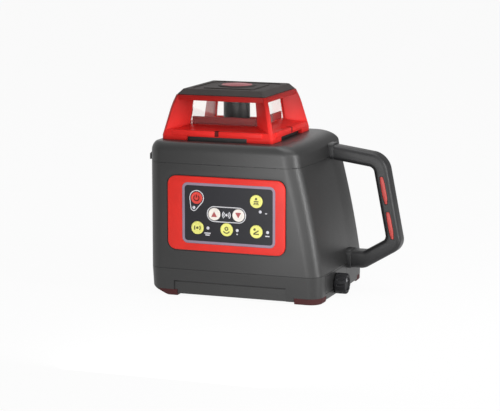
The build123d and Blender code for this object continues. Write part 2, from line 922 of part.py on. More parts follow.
def keypad_bezel():
    frame = on_front(RectangleRounded(frame_width, frame_height, frame_corner), frame_x, frame_z,
                     0, frame_thickness)
    frame = fillet(frame.edges().group_by(Axis.Y)[0], frame_edge)
    return frame - on_front(RectangleRounded(panel_width, panel_height, panel_corner), panel_x, panel_z,
                            -cut_over, margin)


def keypad_panel():
    panel = on_front(RectangleRounded(panel_width, panel_height, panel_corner), panel_x, panel_z,
                     0, panel_thickness)
    for *place, radius in keys.values():
        x, z = key_spot(*place)
        panel -= on_front(Circle(radius + key_clearance), x, z, -cut_over, margin)
    for place in lamps:
        x, z = key_spot(*place)
        panel -= on_front(Circle(lamp_radius), x, z, -cut_over, margin)
    return panel


def button(place, radius):
    x, z = key_spot(*place)
    flange_back = -key_stop_gap - key_flange_thickness
    cap = on_front(Circle(radius), x, z, -key_stop_gap, panel_thickness + key_proud)
    cap = fillet(cap.edges().group_by(Axis.Y)[0], key_edge)
    cap += on_front(Circle(radius + key_flange), x, z, flange_back, -key_stop_gap)
    stem_back = -wall - board_gap + switch_height + key_travel + switch_play
    return cap + on_front(Circle(key_stem_radius), x, z, stem_back, flange_back)


def key_switch(place):
    x, z = key_spot(*place)
    base = -wall - board_gap
    shoulder = base + switch_body_height
    body = on_front(Rectangle(switch_size, switch_size), x, z, base, shoulder)
    return body + on_front(Circle(switch_cap_radius), x, z, shoulder, base + switch_height)


def keypad_board():
    return block(panel_x - board_width / 2, panel_x + board_width / 2, board_front,
                 board_front + board_thickness, panel_z - board_height / 2, panel_z + board_height / 2)


def lamp(place):
    x, z = key_spot(*place)
    top = panel_thickness + lamp_proud
    lens = on_front(Circle(lamp_radius), x, z, top - lamp_length, top)
    return fillet(lens.edges().group_by(Axis.Y)[0], lamp_proud)


pieces["keypad_bezel"] = [keypad_bezel()]
pieces["keypad_panel"] = [keypad_panel()]
for name, (*place, radius) in keys.items():
    pieces[name] = [button(place, radius)]
pieces["key_switches"] = [key_switch(place) for *place, radius in keys.values()]
pieces["keypad_board"] = [keypad_board()]
pieces["indicator_lenses"] = [lamp(place) for place in lamps]


# Main board

def main_board():
    back = main_board_back
    board = block(main_board_left, main_board_right, back - board_thickness, back,
                  main_board_bottom, main_board_top)
    width = main_board_right - main_board_left
    height = main_board_top - main_board_bottom
    for across, up, size in chips:
        x = main_board_left + across * width
        z = main_board_bottom + up * height
        board += block(x - size / 2, x + size / 2, back, back + chip_height, z - size / 2, z + size / 2)
    return board


pieces["main_board"] = [main_board()]


# Head cage with its screws, screens, panes and roof

cage_screw_places = [(sx * cage_screw_offset, sy * cage_screw_offset) for sx in (-1, 1) for sy in (-1, 1)]


def cage_screw(x, y):
    shoulder = deck_underside
    head = post(x, y, shoulder - screw_head_height, screw_head_radius, screw_head_height)
    length = plinth_top - shoulder + cage_screw_bite
    return head + post(x, y, shoulder, cage_screw_radius, length)


cage_screws = [cage_screw(x, y) for x, y in cage_screw_places]


def fin():
    """Upright corner fin on the diagonal, from the leaning glass box out to the corner."""
    inner = (glass_half - pane_thickness / 2) * sqrt(2)
    inner_top = (glass_top_half - pane_thickness / 2) * sqrt(2)
    foot = cage_half * sqrt(2) - fin_foot_setback
    shoulder = fin_shoulder_half * sqrt(2)
    top = flange_half * sqrt(2) - fin_top_setback
    profile = Polygon(
        (inner, plinth_top), (foot, plinth_top), (shoulder, flange_bottom - fin_shoulder_drop),
        (top, flange_top), (inner_top, flange_top), (inner_top, flange_bottom), (inner, curb_top), align=None)
    plate = extrude(Plane.XZ * profile, amount=fin_thickness / 2, both=True)
    return Rot(0, 0, 45) * plate


def sill_bar():
    y0 = -cage_half - sill_bar_proud + skirt_taper
    bar = block(-sill_bar_length / 2, sill_bar_length / 2, y0, -shelf_half,
                sill_top - sill_bar_height, sill_top)
    return bar - block(-sight_notch / 2, sight_notch / 2, y0 - cut_over, -cage_half + skirt_taper,
                       plinth_top, sill_top + cut_over)


def window_way():
    """Way through the glass box from front to back, narrower towards the roof."""
    profile = Polygon((-window_half, curb_top), (window_half, curb_top), (window_top_half, flange_bottom),
                      (-window_top_half, flange_bottom), align=None)
    return extrude(Plane.XZ * profile, amount=cage_half, both=True)


def head_cage():
    skirt = loft([square(cage_half, cage_corner, plinth_top),
                  square(cage_half - skirt_taper, cage_corner, sill_top)])
    shelf = loft([square(shelf_half, cage_corner, sill_top), square(glass_half, cage_corner, curb_top)])
    feet = extrude(square(cage_half, cage_corner, deck_height), amount=plinth_rise)
    feet -= extrude(square(plinth_half + skirt_foot_gap, cage_corner, deck_height), amount=plinth_rise)
    clear = cage_half - skirt_foot_length
    for turned in (0, 90):
        feet -= Rot(0, 0, turned) * block(-clear, clear, -cage_half - cut_over, cage_half + cut_over,
                                          deck_height, plinth_top)
    cage = skirt + shelf + feet
    for shape in around_axis(fin()) + around_axis(sill_bar()):
        cage += shape
    flange = extrude(square(flange_half, flange_corner, flange_bottom), amount=flange_thickness)
    cage += flange
    posts = loft([square(glass_half, glass_corner, curb_top),
                  square(glass_top_half, glass_corner, flange_bottom)], ruled=True)
    for turned in (0, 90):
        posts -= Rot(0, 0, turned) * window_way()
    cage += posts
    cage -= extrude(square(head_bore_half, glass_corner, plinth_top), amount=flange_top - plinth_top)
    for screw in cage_screws:
        cage -= screw
    return cage


def head_screens():
    """Low walls that stand on the curb behind the front and the right panes."""
    outer = head_bore_half + screen_thickness
    top = curb_top + screen_height
    front = block(-outer, outer, -outer, -head_bore_half, curb_top, top)
    right = block(head_bore_half, outer, -head_bore_half, outer, curb_top, top)
    return [front, right]


def window_pane():
    low = Pos(0, -glass_half + pane_thickness / 2, curb_top) * Rectangle(2 * window_half, pane_thickness)
    high = Pos(0, -glass_top_half + pane_thickness / 2, flange_bottom) * Rectangle(
        2 * window_top_half, pane_thickness)
    return loft([low, high], ruled=True)


def head_roof():
    slab = loft([square(roof_half, roof_corner, flange_top),
                 square(roof_top_half, roof_corner, roof_top)])
    pocket_edge = -roof_top_half + roof_pocket_margin
    for shape in around_axis(block(-roof_pocket_length / 2, roof_pocket_length / 2, pocket_edge,
                                   pocket_edge + roof_pocket_width,
                                   roof_top - roof_pocket_depth, roof_top + cut_over)):
        slab -= shape
    ring_depth = roof_pocket_depth + roof_ring_rise
    slab += post(0, 0, roof_top - roof_pocket_depth, roof_ring_radius, ring_depth)
    slab -= post(0, 0, flange_top, lens_radius - lens_ledge, margin + roof_thickness)
    return slab - post(0, 0, roof_top - lens_seat_depth, lens_radius, margin)


def roof_lens():
    base = roof_top - lens_seat_depth
    rim = roof_top + roof_ring_rise
    disc = post(0, 0, base, lens_radius, rim - base)
    crown = rim + lens_dome_rise
    radius = (lens_radius ** 2 + lens_dome_rise ** 2) / (2 * lens_dome_rise)
    return disc + (Pos(0, 0, crown - radius) * Sphere(radius) & post(0, 0, rim, lens_radius, margin))


pieces["head_cage"] = [head_cage()]
pieces["cage_screws"] = cage_screws
pieces["head_screens"] = head_screens()
for name, turned in (("front", 0), ("right", 90), ("back", 180), ("left", 270)):
    pieces["window_" + name] = [Rot(0, 0, turned) * window_pane()]
pieces["head_roof"] = [head_roof()]
pieces["roof_lens"] = [roof_lens()]
for screw in cage_screws:
    pieces["top_cover"][0] -= screw


# Gimbal frame, ring and pins

ring_plunger_y = ring_lever + plunger_offset
tube_plunger_x = tube_lever + plunger_offset


def gimbal_frame():
    right = tube_plunger_x + plate_margin
    back = ring_plunger_y + plate_margin
    frame = block(-plate_left, right, -plate_front, back, plate_height, plate_top)
    for x in (-plate_left + leg_inset, leg_right):
        for y in (-plate_front + leg_inset, back - leg_inset):
            frame += post(x, y, base_floor, leg_radius, plate_height - base_floor)
    for side in (-1, 1):
        middle = side * (upright_inner + upright_thickness / 2)
        frame += block(middle - upright_thickness / 2, middle + upright_thickness / 2,
                       -upright_width / 2, upright_width / 2, plate_top, pivot_height + upright_over_pivot)
    reach = upright_inner + upright_thickness
    return frame - rod_x(-reach, 0, pivot_height, ring_pin_radius + running_clearance, 2 * reach)


def gimbal_ring():
    low = pivot_height - ring_height / 2
    ring = post(0, 0, low, ring_outer_radius, ring_height)
    stem_start = ring_inner_radius + cut_over
    ring += rod_y(0, stem_start, pivot_height, ball_stem_radius, ring_lever - stem_start)
    ring += Pos(0, ring_lever, pivot_height) * Sphere(ball_radius)
    ring -= post(0, 0, low, ring_inner_radius, ring_height)
    for pin in ring_pins:
        ring -= pin
    reach = tube_pin_outside + pin_end_play
    return ring - rod_y(0, -reach, pivot_height, tube_pin_radius + running_clearance, 2 * reach)


pin_inside = ring_outer_radius - pin_bite
pin_outside = upright_inner + upright_thickness
ring_pins = [rod_x(start, 0, pivot_height, ring_pin_radius, pin_outside - pin_inside)
             for start in (-pin_outside, pin_inside)]
tube_pin_inside = tube_radius - pin_bite
tube_pin_outside = ring_outer_radius - tube_pin_wall
tube_pins = [rod_y(0, start, pivot_height, tube_pin_radius, tube_pin_outside - tube_pin_inside)
             for start in (-tube_pin_outside, tube_pin_inside)]
pieces["gimbal_frame"] = [gimbal_frame()]
pieces["gimbal_ring"] = [gimbal_ring()]
pieces["ring_pins"] = ring_pins
pieces["tube_pins"] = tube_pins


# Levelling actuators and their plungers

def actuator(x, y):
    half = actuator_size / 2
    body = block(x - half, x + half, y - half, y + half, plate_top, plate_top + actuator_height)
    body += post(x, y, plate_top + actuator_height, actuator_boss_radius, actuator_boss_height)
    return body - post(x, y, plate_top + actuator_floor, plunger_radius + running_clearance,
                       actuator_height)


def plunger(x, y):
    play = ball_radius + ball_play
    start = plate_top + plunger_bottom
    rod = post(x, y, start, plunger_radius, pivot_height - start)
    rod += post(x, y, pivot_height - play - spool_lip, spool_neck, 2 * (play + spool_lip))
    rod += post(x, y, pivot_height - play - spool_lip, spool_radius, spool_lip)
    return rod + post(x, y, pivot_height + play, spool_radius, spool_lip)


pieces["ring_actuator"] = [actuator(0, ring_plunger_y)]
pieces["tube_actuator"] = [actuator(tube_plunger_x, 0)]
pieces["ring_plunger"] = [plunger(0, ring_plunger_y)]
pieces["tube_plunger"] = [plunger(tube_plunger_x, 0)]


# Laser tube with its module, lens, sensors, bearings and spin motor

bearing_seats = (spindle_bottom + bearing_margin, flange_face - bearing_margin - bearing_width)


def flange_plate():
    """Outline of the plate that carries spindle and motor."""
    circles = Circle(tube_flange_radius).edges()
    circles += (Pos(-motor_offset, 0) * Circle(motor_radius + motor_flange_margin)).edges()
    return make_hull(circles)


def laser_tube():
    tube = post(0, 0, tube_bottom, tube_radius, tube_top - tube_bottom)
    tube += extrude(Pos(0, 0, tube_top) * flange_plate(), amount=tube_flange_thickness)
    bar_z = pivot_height + lever_bar_lift
    end = lever_drop_place + lever_drop / 2
    tube += block(tube_radius - lever_bite, end, -lever_bar / 2, lever_bar / 2, bar_z, bar_z + lever_bar)
    tube += block(end - lever_drop, end, -lever_bar / 2, lever_bar / 2,
                  pivot_height - lever_bar / 2, bar_z + lever_bar)
    stem_start = end - cut_over
    tube += rod_x(stem_start, 0, pivot_height, ball_stem_radius, tube_lever - stem_start)
    tube += Pos(tube_lever, 0, pivot_height) * Sphere(ball_radius)
    tube -= post(0, 0, tube_bottom, module_radius, module_length)
    tube -= post(0, 0, tube_bottom + module_length, lens_disc_radius,
                 lens_disc_bottom + lens_disc_thickness - tube_bottom - module_length)
    tube -= post(0, 0, lens_disc_bottom, beam_radius, spindle_bottom - lens_disc_bottom)
    seat_bottom = spindle_bottom - cut_over
    tube -= post(0, 0, seat_bottom, bearing_radius, flange_face - seat_bottom)
    shaft_hole = motor_shaft_radius + motor_shaft_play
    tube -= post(-motor_offset, 0, tube_top, shaft_hole, tube_flange_thickness)
    for pin in tube_pins:
        tube -= pin
    return tube


def tilt_sensor():
    low = sensor_middle - sensor_size / 2
    half = sensor_length / 2
    box = block(-half, half, -tube_radius - sensor_size, 0, low, low + sensor_size)
    return box - post(0, 0, low, tube_radius, sensor_size)


def bearing(z):
    return post(0, 0, z, bearing_radius, bearing_width) - post(
        0, 0, z, spindle_radius + bearing_clearance, bearing_width)


def pulley(x, radius):
    """Grooved wheel for the belt."""
    wheel = post(x, 0, pulley_bottom, radius + rim_rise, pulley_rim)
    wheel += post(x, 0, pulley_bottom, radius, pulley_width)
    top_rim = pulley_bottom + pulley_width - pulley_rim
    return wheel + post(x, 0, top_rim, radius + rim_rise, pulley_rim)


def belt_face(grow):
    circles = Circle(rotor_pulley_radius + grow).edges()
    circles += (Pos(-motor_offset, 0) * Circle(motor_pulley_radius + grow)).edges()
    return make_hull(circles)


def drive_belt():
    low = pulley_bottom + pulley_rim + belt_clearance
    height = pulley_width - 2 * pulley_rim - 2 * belt_clearance
    loop = belt_face(belt_clearance + belt_thickness) - belt_face(belt_clearance)
    return extrude(Pos(0, 0, low) * loop, amount=height)


pieces["laser_tube"] = [laser_tube()]
pieces["laser_module"] = [post(0, 0, tube_bottom, module_radius, module_length)]
pieces["collimator_lens"] = [post(0, 0, lens_disc_bottom, lens_disc_radius, lens_disc_thickness)]
pieces["tilt_sensors"] = [tilt_sensor(), Rot(0, 0, -90) * tilt_sensor()]
pieces["spindle_bearings"] = [bearing(z) for z in bearing_seats]
pieces["spin_motor"] = [post(-motor_offset, 0, motor_bottom, motor_radius, tube_top - motor_bottom)]
pieces["drive_belt"] = [drive_belt()]
shaft_start = tube_top + motor_shaft_gap
shaft_length = pulley_bottom + pulley_width - shaft_start
motor_shaft = post(-motor_offset, 0, shaft_start, motor_shaft_radius, shaft_length)
pieces["motor_pulley"] = [pulley(-motor_offset, motor_pulley_radius) + motor_shaft]


# Rotor: spindle, pulley, drum, prism and exit window

spindle_top = rotor_bottom + rotor_spigot
prism_middle = prism_floor + prism_height / 2


def rotor_drum():
    drum = post(0, 0, rotor_bottom, rotor_radius, rotor_height)
    drum = fillet(drum.edges().group_by(Axis.Z)[-1], rotor_edge)
    inside = rotor_radius - rotor_wall
    drum -= post(0, 0, rotor_bottom + rotor_floor, inside, rotor_height - rotor_floor - rotor_wall)
    drum += post(0, 0, rotor_bottom + rotor_floor, spindle_radius + rotor_pad_rim, rotor_pad_height)
    drum -= post(0, 0, rotor_bottom, spindle_radius, rotor_spigot)
    drum -= post(0, 0, rotor_bottom, beam_radius, rotor_height)
    return drum - rod_y(0, 0, prism_middle, exit_window_radius, rotor_radius)


def penta_prism():
    """Five sided prism that turns the beam through a right angle."""
    low, high = prism_floor, prism_floor + prism_height
    profile = Polygon(
        (-prism_half, low), (prism_half, low), (prism_half, high), (-prism_half + prism_cut, high),
        (-prism_half, high - prism_cut), align=None)
    solid = extrude(Plane.XZ * profile, amount=prism_half_width, both=True)
    return Rot(0, 0, 90) * solid


def rotor_window():
    face = rotor_radius - exit_window_recess
    return rod_y(0, face - rotor_wall, prism_middle, exit_window_radius, rotor_wall)


pieces["spindle"] = [post(0, 0, spindle_bottom, spindle_radius, spindle_top - spindle_bottom)
                     - post(0, 0, spindle_bottom, beam_radius, spindle_top - spindle_bottom)]
pieces["rotor_pulley"] = [pulley(0, rotor_pulley_radius)
                          - post(0, 0, pulley_bottom, spindle_radius, pulley_width)]
pieces["rotor_drum"] = [rotor_drum()]
pieces["penta_prism"] = [penta_prism()]
pieces["rotor_window"] = [rotor_window()]

for node, solids in pieces.items():
    export_step(Compound(children=[Part(solid.wrapped) for solid in solids]), "parts/" + node + ".step")
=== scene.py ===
"""Looks of a self-levelling rotary laser level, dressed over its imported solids."""

import json
from math import atan2, cos, hypot, pi, radians, sin, sqrt, tan

import bmesh
import bpy
from bpy.props import FloatProperty, FloatVectorProperty, PointerProperty
from mathutils import Matrix, Vector

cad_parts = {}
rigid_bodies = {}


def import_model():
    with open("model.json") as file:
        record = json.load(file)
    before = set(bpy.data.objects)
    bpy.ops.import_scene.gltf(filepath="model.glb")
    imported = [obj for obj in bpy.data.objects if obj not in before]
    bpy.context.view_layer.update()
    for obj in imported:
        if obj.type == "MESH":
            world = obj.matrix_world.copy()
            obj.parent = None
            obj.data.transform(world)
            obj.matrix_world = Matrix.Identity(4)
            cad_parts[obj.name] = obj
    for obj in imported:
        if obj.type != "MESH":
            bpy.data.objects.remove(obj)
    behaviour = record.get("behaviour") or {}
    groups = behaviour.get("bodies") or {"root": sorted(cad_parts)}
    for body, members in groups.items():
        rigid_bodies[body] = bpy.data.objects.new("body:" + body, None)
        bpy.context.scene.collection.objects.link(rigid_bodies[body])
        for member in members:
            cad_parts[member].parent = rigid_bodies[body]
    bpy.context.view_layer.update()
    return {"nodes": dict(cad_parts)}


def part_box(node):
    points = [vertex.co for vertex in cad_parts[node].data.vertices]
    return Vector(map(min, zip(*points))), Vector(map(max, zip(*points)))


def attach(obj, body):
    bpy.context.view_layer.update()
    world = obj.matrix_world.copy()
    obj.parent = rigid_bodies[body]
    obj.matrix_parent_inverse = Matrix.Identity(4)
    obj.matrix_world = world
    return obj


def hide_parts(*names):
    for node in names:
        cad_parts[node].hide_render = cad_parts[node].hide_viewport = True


bl_info = {
    "name": "Rotary laser level",
    "version": (1, 0, 0),
    "blender": (4, 5, 0),
    "location": "View3D > Sidebar > Laser level",
    "description": "Builds the looks of a self-levelling rotary laser level over its solids",
    "category": "Object",
}

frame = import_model()
base_low, base_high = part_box("base_housing")
main_low, main_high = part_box("main_housing")
cover_low, cover_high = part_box("top_cover")
cage_low, cage_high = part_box("head_cage")
screens_low, screens_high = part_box("head_screens")
roof_low, roof_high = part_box("head_roof")
bezel_low, bezel_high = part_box("keypad_bezel")
panel_low, panel_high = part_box("keypad_panel")
pane_low, pane_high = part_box("window_front")
feet_low, feet_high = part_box("rubber_feet")
tray_low, tray_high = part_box("battery_tray")
bay_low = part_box("battery_bay")[0]
knob_low, knob_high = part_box("lock_knob")
inlay_low, inlay_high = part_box("handle_inlays")

MM = 0.001
NEAR = 1e-6
UPRIGHT = Matrix.Rotation(pi / 2, 4, "X")
FRONT_WALL = Matrix.Translation((0, main_low.y, 0)) @ UPRIGHT
ALONG_X = Matrix(((0, 0, 1, 0), (1, 0, 0, 0), (0, 1, 0, 0), (0, 0, 0, 1)))


# Sizes and colours that a user would change

def length(name, millimetres, text):
    """Size written in millimetres, with its name and meaning."""
    return FloatProperty(name=name, description=text, default=millimetres * MM, unit="LENGTH")


def linear(value):
    """Linear light of one colour channel written from 0 to 255."""
    share = value / 255
    return share / 12.92 if share <= 0.04045 else ((share + 0.055) / 1.055) ** 2.4


def colour(name, rgb, text):
    """Colour written as it looks on a screen, from 0 to 255."""
    return FloatVectorProperty(name=name, description=text, subtype="COLOR", min=0, max=1,
                               default=tuple(linear(channel) for channel in rgb))


class BodySizes(bpy.types.PropertyGroup):
    left: length("Left wall", -main_low.x / MM, "From the axis to the upright left wall")
    right: length("Right wall", 113, "From the axis to the right wall's corner line at the base seam")
    right_top: length("Right wall at top", 89.5, "The same at the cover seam")
    swell: length("Swell", 1.6, "Bow of the leaning right wall between its seams")
    bulge_base: length("Bulge at base", 1, "Bow of the right wall in plan at the base seam")
    bulge_top: length("Bulge at top", 5, "Bow of the right wall in plan at the cover seam")
    half_depth: length("Half depth", main_high.y / MM, "From the axis to the front wall")
    corner: length("Corner radius", 14, "Radius of the upright corners")
    wall: length("Wall", 3, "Thickness of the moulded walls")
    edge: length("Soft edge", 0.2, "Rounding along seams")
    seam: length("Seam", 0.06, "Gap that shows between two housings")
    joint: length("Cover joint", 0.12, "Gap and rounding along the joint under the cover")
    draft: length("Base draft", 1.5, "Narrowing of the base towards its sole")
    bevel_run: length("Bevel run", 20.5, "Width of the bevel along the lower left edge")
    bevel_rise: length("Bevel rise", 9.5, "Height of that bevel above the ground")
    recess_depth: length("Front recess", 2.4, "Depth of the plain field in the base's front")
    recess_slope: length("Recess slope", 1.6, "Height of the slope at that field's upper edge")
    recess_left: length("Recess left end", -40, "Left end of that field")
    recess_top: length("Recess top", 15.7, "Upper edge of that field")
    socket: length("Thread socket", 11, "Radius of the hole for the tripod thread's insert")
    rib_height: length("Rib height", 9.2, "Height of the rib on the cover's left side")
    rib_slope: length("Rib slope", 3.6, "Height of that rib's sloping top")
    rib_proud: length("Rib", 3.4, "How far that rib stands out")
    shoulder_drop: length("Shoulder drop", 9.5, "Height of the rounded shoulder under the deck")
    shoulder: length("Shoulder", 6.2, "Inset of the deck's edge on three sides")
    right_lean: length("Right lean", 1.8, "Inset of the right side where its shoulder starts")
    right_shoulder: length("Right shoulder", 20.5, "Inset of the deck's edge on the right")
    deck: length("Deck", cage_low.z / MM, "Height of the deck that carries the head")
    deck_hole: length("Deck hole", 26, "Radius of the hole for the spindle")
    foot_width: length("Left foot width", 20, "Width of a rubber foot on the left")
    right_foot_width: length("Right foot width", 26, "Width of a rubber foot on the right")
    foot_depth: length("Foot depth", 24, "Depth of a rubber foot")


class HeadSizes(bpy.types.PropertyGroup):
    half: length("Cage half width", 59, "From the axis to the foot of the skirt")
    taper: length("Skirt taper", 1.4, "Narrowing of the skirt up to its sill")
    corner: length("Skirt corner", 4, "Radius of the skirt's corners")
    sill: length("Sill height", 6.2, "Height of the sill above the plinth")
    shelf: length("Shelf half width", 53, "From the axis to the foot of the sloping shelf")
    bore: length("Bore half width", 33, "From the axis to the wall of the square bore")
    plinth: length("Plinth half width", 55, "From the axis to the side of the dark plinth")
    foot: length("Skirt foot", 27, "Length of the skirt's corner feet along each side")
    bar: length("Sill bar length", 96, "Length of a sill bar")
    bar_height: length("Sill bar height", 5.4, "Height of a sill bar")
    bar_proud: length("Sill bar relief", 2, "How far a sill bar stands out of the skirt")
    notch: length("Sighting notch", 4, "Gap in the middle of a sill bar")
    # The notch's floor is dark red as painted shade of the groove.
    mark_depth: length("Notch depth", 0.6, "How deep the notch's dark floor lies behind the bar's face")
    fin: length("Fin thickness", 5, "Thickness of a corner fin")
    fin_shoulder: length("Fin shoulder", 51.5, "Half width of the cage at the fins' shoulder")
    flange: length("Flange half width", 48.5, "From the axis to the side of the flange under the roof")
    flange_corner: length("Flange corner", 5, "Radius of the flange's corners")
    lean: length("Lean", 3, "How far the panes lean inwards at their top")
    post: length("Post", 3, "Width of the posts beside the panes")
    roof_corner: length("Roof corner", 2, "Radius of the roof's corners")
    roof_top: length("Roof half width at top", 42.3, "From the axis to the roof's upper edge")
    roof_ring: length("Roof ring", 19, "Radius of the raised ring on the roof")
    lens: length("Roof lens", 13.5, "Radius of the round red window")
    lens_collar: length("Lens collar", 2.2, "Width of the red collar round that window")


class KeypadSizes(bpy.types.PropertyGroup):
    frame_corner: length("Frame corner", 9, "Radius of the red frame's corners")
    gap: length("Frame gap", 1.2, "Width and depth of the groove round the frame")
    panel_corner: length("Panel corner", 6, "Radius of the dark panel's corners")
    border: length("Border", 2.6, "Width of the pale border round the panel")
    line: length("Line", 0.85, "Width of the printed outlines")
    ink: length("Ink", 0.06, "Thickness of printed signs")
    flange: length("Key flange", 1.2, "Width of the flange behind a key's cap")
    clearance: length("Key clearance", 0.2, "Gap round a key")
    lamp: length("Lamp radius", 1.6, "Radius of an indicator lens")


class HandleSizes(bpy.types.PropertyGroup):
    offset: length("Offset", 25, "From the axis back to the handle's middle")
    width: length("Width", 20, "Width of the grip")
    reach: length("Reach", 171, "From the axis to the grip's outer line at the heel")
    top: length("Top corner", 139, "Height of the upper outer corner")
    heel: length("Heel", 45, "Height of the lower outer corner")
    grip: length("Grip", 15, "Thickness of the grip")
    arm: length("Arm", 13.2, "Thickness of the upper arm")
    root_low: length("Root bottom", 21.5, "Lower edge of the lower root")
    root_high: length("Root top", 39.5, "Upper edge of the lower root")
    edge: length("Edge radius", 4.5, "Rounding of the handle's long edges")
    collar: length("Collar", 0.7, "Rise of the collars at the roots")
    collar_length: length("Collar length", 4, "How far the collars stand out of the wall")
    inlay_drop: length("Inlay drop", 5, "How far the inlays sit below their solids")
    inlay_gap: length("Inlay gap", 8, "Gap between two inlays in a row")


class Finishes(bpy.types.PropertyGroup):
    body: colour("Body", (30, 30, 30), "Dark grey moulded plastic of the housings")
    handle: colour("Handle", (30, 30, 31), "Satin plastic of the handle")
    roof: colour("Roof", (64, 59, 58), "Soft dark roof of the head")
    foot: colour("Feet", (70, 33, 34), "Rubber of the feet")
    cage: colour("Cage", (240, 50, 46), "Red plastic of the head cage")
    # Darker copy of the cage red: painted shade on the walls behind the panes and on the notch floors; on the
    # power key it is the sign's real dark red print.
    screen: colour("Screens", (96, 26, 26), "Dark red walls behind the panes, notch floors and power sign")
    bezel: colour("Keypad frame", (214, 42, 33), "Red plastic of the keypad frame")
    inlay: colour("Inlays", (190, 66, 60), "Red inlays of the grip")
    lens: colour("Roof lens", (168, 74, 82), "Round red window in the roof")
    film: colour("Panel", (22, 22, 28), "Dark film of the keypad")
    border: colour("Border", (136, 122, 140), "Pale border of the keypad")
    key: colour("Yellow keys", (226, 224, 120), "Yellow keys")
    pale: colour("White keys", (230, 224, 216), "White keys")
    white: colour("White print", (208, 208, 212), "Outlines and marks of the keypad, and the knob's mark")
    dark: colour("Dark print", (85, 82, 38), "Signs on the yellow keys")
    red: colour("Red print", (162, 75, 75), "Signs on the white keys")
    power: colour("Power key", (208, 58, 48), "Red power key")
    rotor: colour("Rotor", (14, 14, 17), "Black rotor and knob")


KEYS = ("power", "up", "down", "mode", "scan", "speed", "tilt")
GROUPS = {"level_body": BodySizes, "level_head": HeadSizes, "level_keypad": KeypadSizes,
          "level_handle": HandleSizes, "level_finish": Finishes}


# Finishes

# Tone or its name above, roughness, scale and depth of the grain, and where unusual the mottle and the shine
GRAINED = {
    "body_plastic": ("body", 0.42, 1500, 0.06 * MM, 0.07, 0.6),
    "handle_plastic": ("handle", 0.42, 1500, 0.12 * MM, 0.07, 0.4),
    "foot_rubber": ("foot", 0.7, 900, 0.2 * MM, 0.15, 0.25),
    "roof_rubber": ("roof", 0.75, 1300, 0.2 * MM, 0.12, 0.25),
    "seal_rubber": ((0.008, 0.008, 0.009), 0.75, 900, 0.1 * MM),
    # screen_red: painted shade behind the panes and in the notches, and the power key's printed sign
    "screen_red": ("screen", 0.7, 900, 0.04 * MM, 0.08, 0.2),
    "cage_red": ("cage", 0.32, 900, 0.04 * MM, 0.06, 0.1),
    "frame_red": ("bezel", 0.4, 1200, 0.08 * MM, 0.06, 0.3),
    "inlay_red": ("inlay", 0.45, 900, 0.1 * MM),
    "lens_red": ("lens", 0.4, 300, 0.02 * MM, 0.18, 0.25),
    "panel_film": ("film", 0.42, 2200, 0.04 * MM, 0.1, 0.34),
    "key_yellow": ("key", 0.45, 1400, 0.04 * MM, 0.06),
    "key_white": ("pale", 0.45, 1400, 0.04 * MM, 0.03),
    "key_red": ("power", 0.42, 1400, 0.04 * MM, 0.06),
    "lamp_lens": ((0.62, 0.62, 0.68), 0.15, 500, 0.02 * MM, 0.08),
    "switch_black": ((0.012, 0.012, 0.013), 0.45, 900, 0.1 * MM),
    "insert_brass": ((0.62, 0.42, 0.16), 0.3, 700, 0.03 * MM),
    "bright_steel": ((0.6, 0.6, 0.62), 0.25, 700, 0.03 * MM, 0.08),
    "cast_aluminium": ((0.5, 0.51, 0.52), 0.45, 800, 0.1 * MM),
    "motor_case": ((0.33, 0.33, 0.35), 0.35, 500, 0.04 * MM),
    "belt_rubber": ((0.01, 0.01, 0.01), 0.7, 700, 0.1 * MM),
    "rotor_black": ("rotor", 0.36, 900, 0.03 * MM, 0.1, 0.2),
    "knob_plastic": ("rotor", 0.5, 1300, 0.1 * MM, 0.12, 0.2),
    "cell_wrap": ((0.05, 0.1, 0.22), 0.3, 300, 0.03 * MM, 0.25),
    "bay_plastic": ((0.03, 0.03, 0.032), 0.5, 1200, 0.1 * MM),
    "print_border": ("border", 0.4, 900, 0.02 * MM, 0.05),
    "print_white": ("white", 0.45, 900, 0.02 * MM, 0.05),
    "print_red": ("red", 0.45, 900, 0.02 * MM, 0.08),
    "print_dark": ("dark", 0.45, 900, 0.02 * MM, 0.08),
}
METALS = ("insert_brass", "bright_steel", "cast_aluminium", "motor_case")
# The cage red darkens upwards to 0.36 of itself: painted shade standing in for the roof's shade on the upper
# cage.
FURTHER = {"cage_red": {"painted_shade": (cover_high.z, cage_high.z, 0.36)},
           "lens_red": {"spread": 0.05, "cloud": 90.0}}
GLASS = {"pane_glass": (1.0, 0.985, 0.97), "optic_glass": (0.9, 0.95, 1.0)}
RAMP = (0.3, 0.7)


def blank(name):
    """New node material, its tree and its shader."""
    made = bpy.data.materials.new(name)
    made.use_nodes = True
    return made, made.node_tree, made.node_tree.nodes["Principled BSDF"]


def feed(tree, made, values):
    """Sets a node's inputs to values, or links them to the outputs of other nodes."""
    for name, value in values.items():
        if isinstance(value, bpy.types.NodeSocket):
            tree.links.new(value, made.inputs[name])
        else:
            made.inputs[name].default_value = value


def shader_node(tree, kind, output, values, **settings):
    """Output of a new shader node that is set and fed."""
    made = tree.nodes.new("ShaderNode" + kind)
    for name, value in settings.items():
        setattr(made, name, value)
    feed(tree, made, values)
    return made.outputs[output]


def show(tree, shader):
    """Makes a shader the material's surface."""
    feed(tree, tree.nodes["Material Output"], {"Surface": shader})


def show_mix(tree, factor, first, second):
    """Shows the first shader where the factor is nought and the second where it is one."""
    show(tree, shader_node(tree, "MixShader", "Shader", {0: factor, 1: first, 2: second}))


def own_place(tree):
    """Place on the piece itself."""
    return shader_node(tree, "TexCoord", "Object", {})


def two_tone(tree, factor, first, second):
    """Colour that runs from one tone to another with a factor."""
    ramp = tree.nodes.new("ShaderNodeValToRGB")
    feed(tree, ramp, {"Fac": factor})
    for element, tone, place in zip(ramp.color_ramp.elements, (first, second), RAMP):
        element.color = (*tone, 1)
        element.position = place
    return ramp.outputs["Color"]


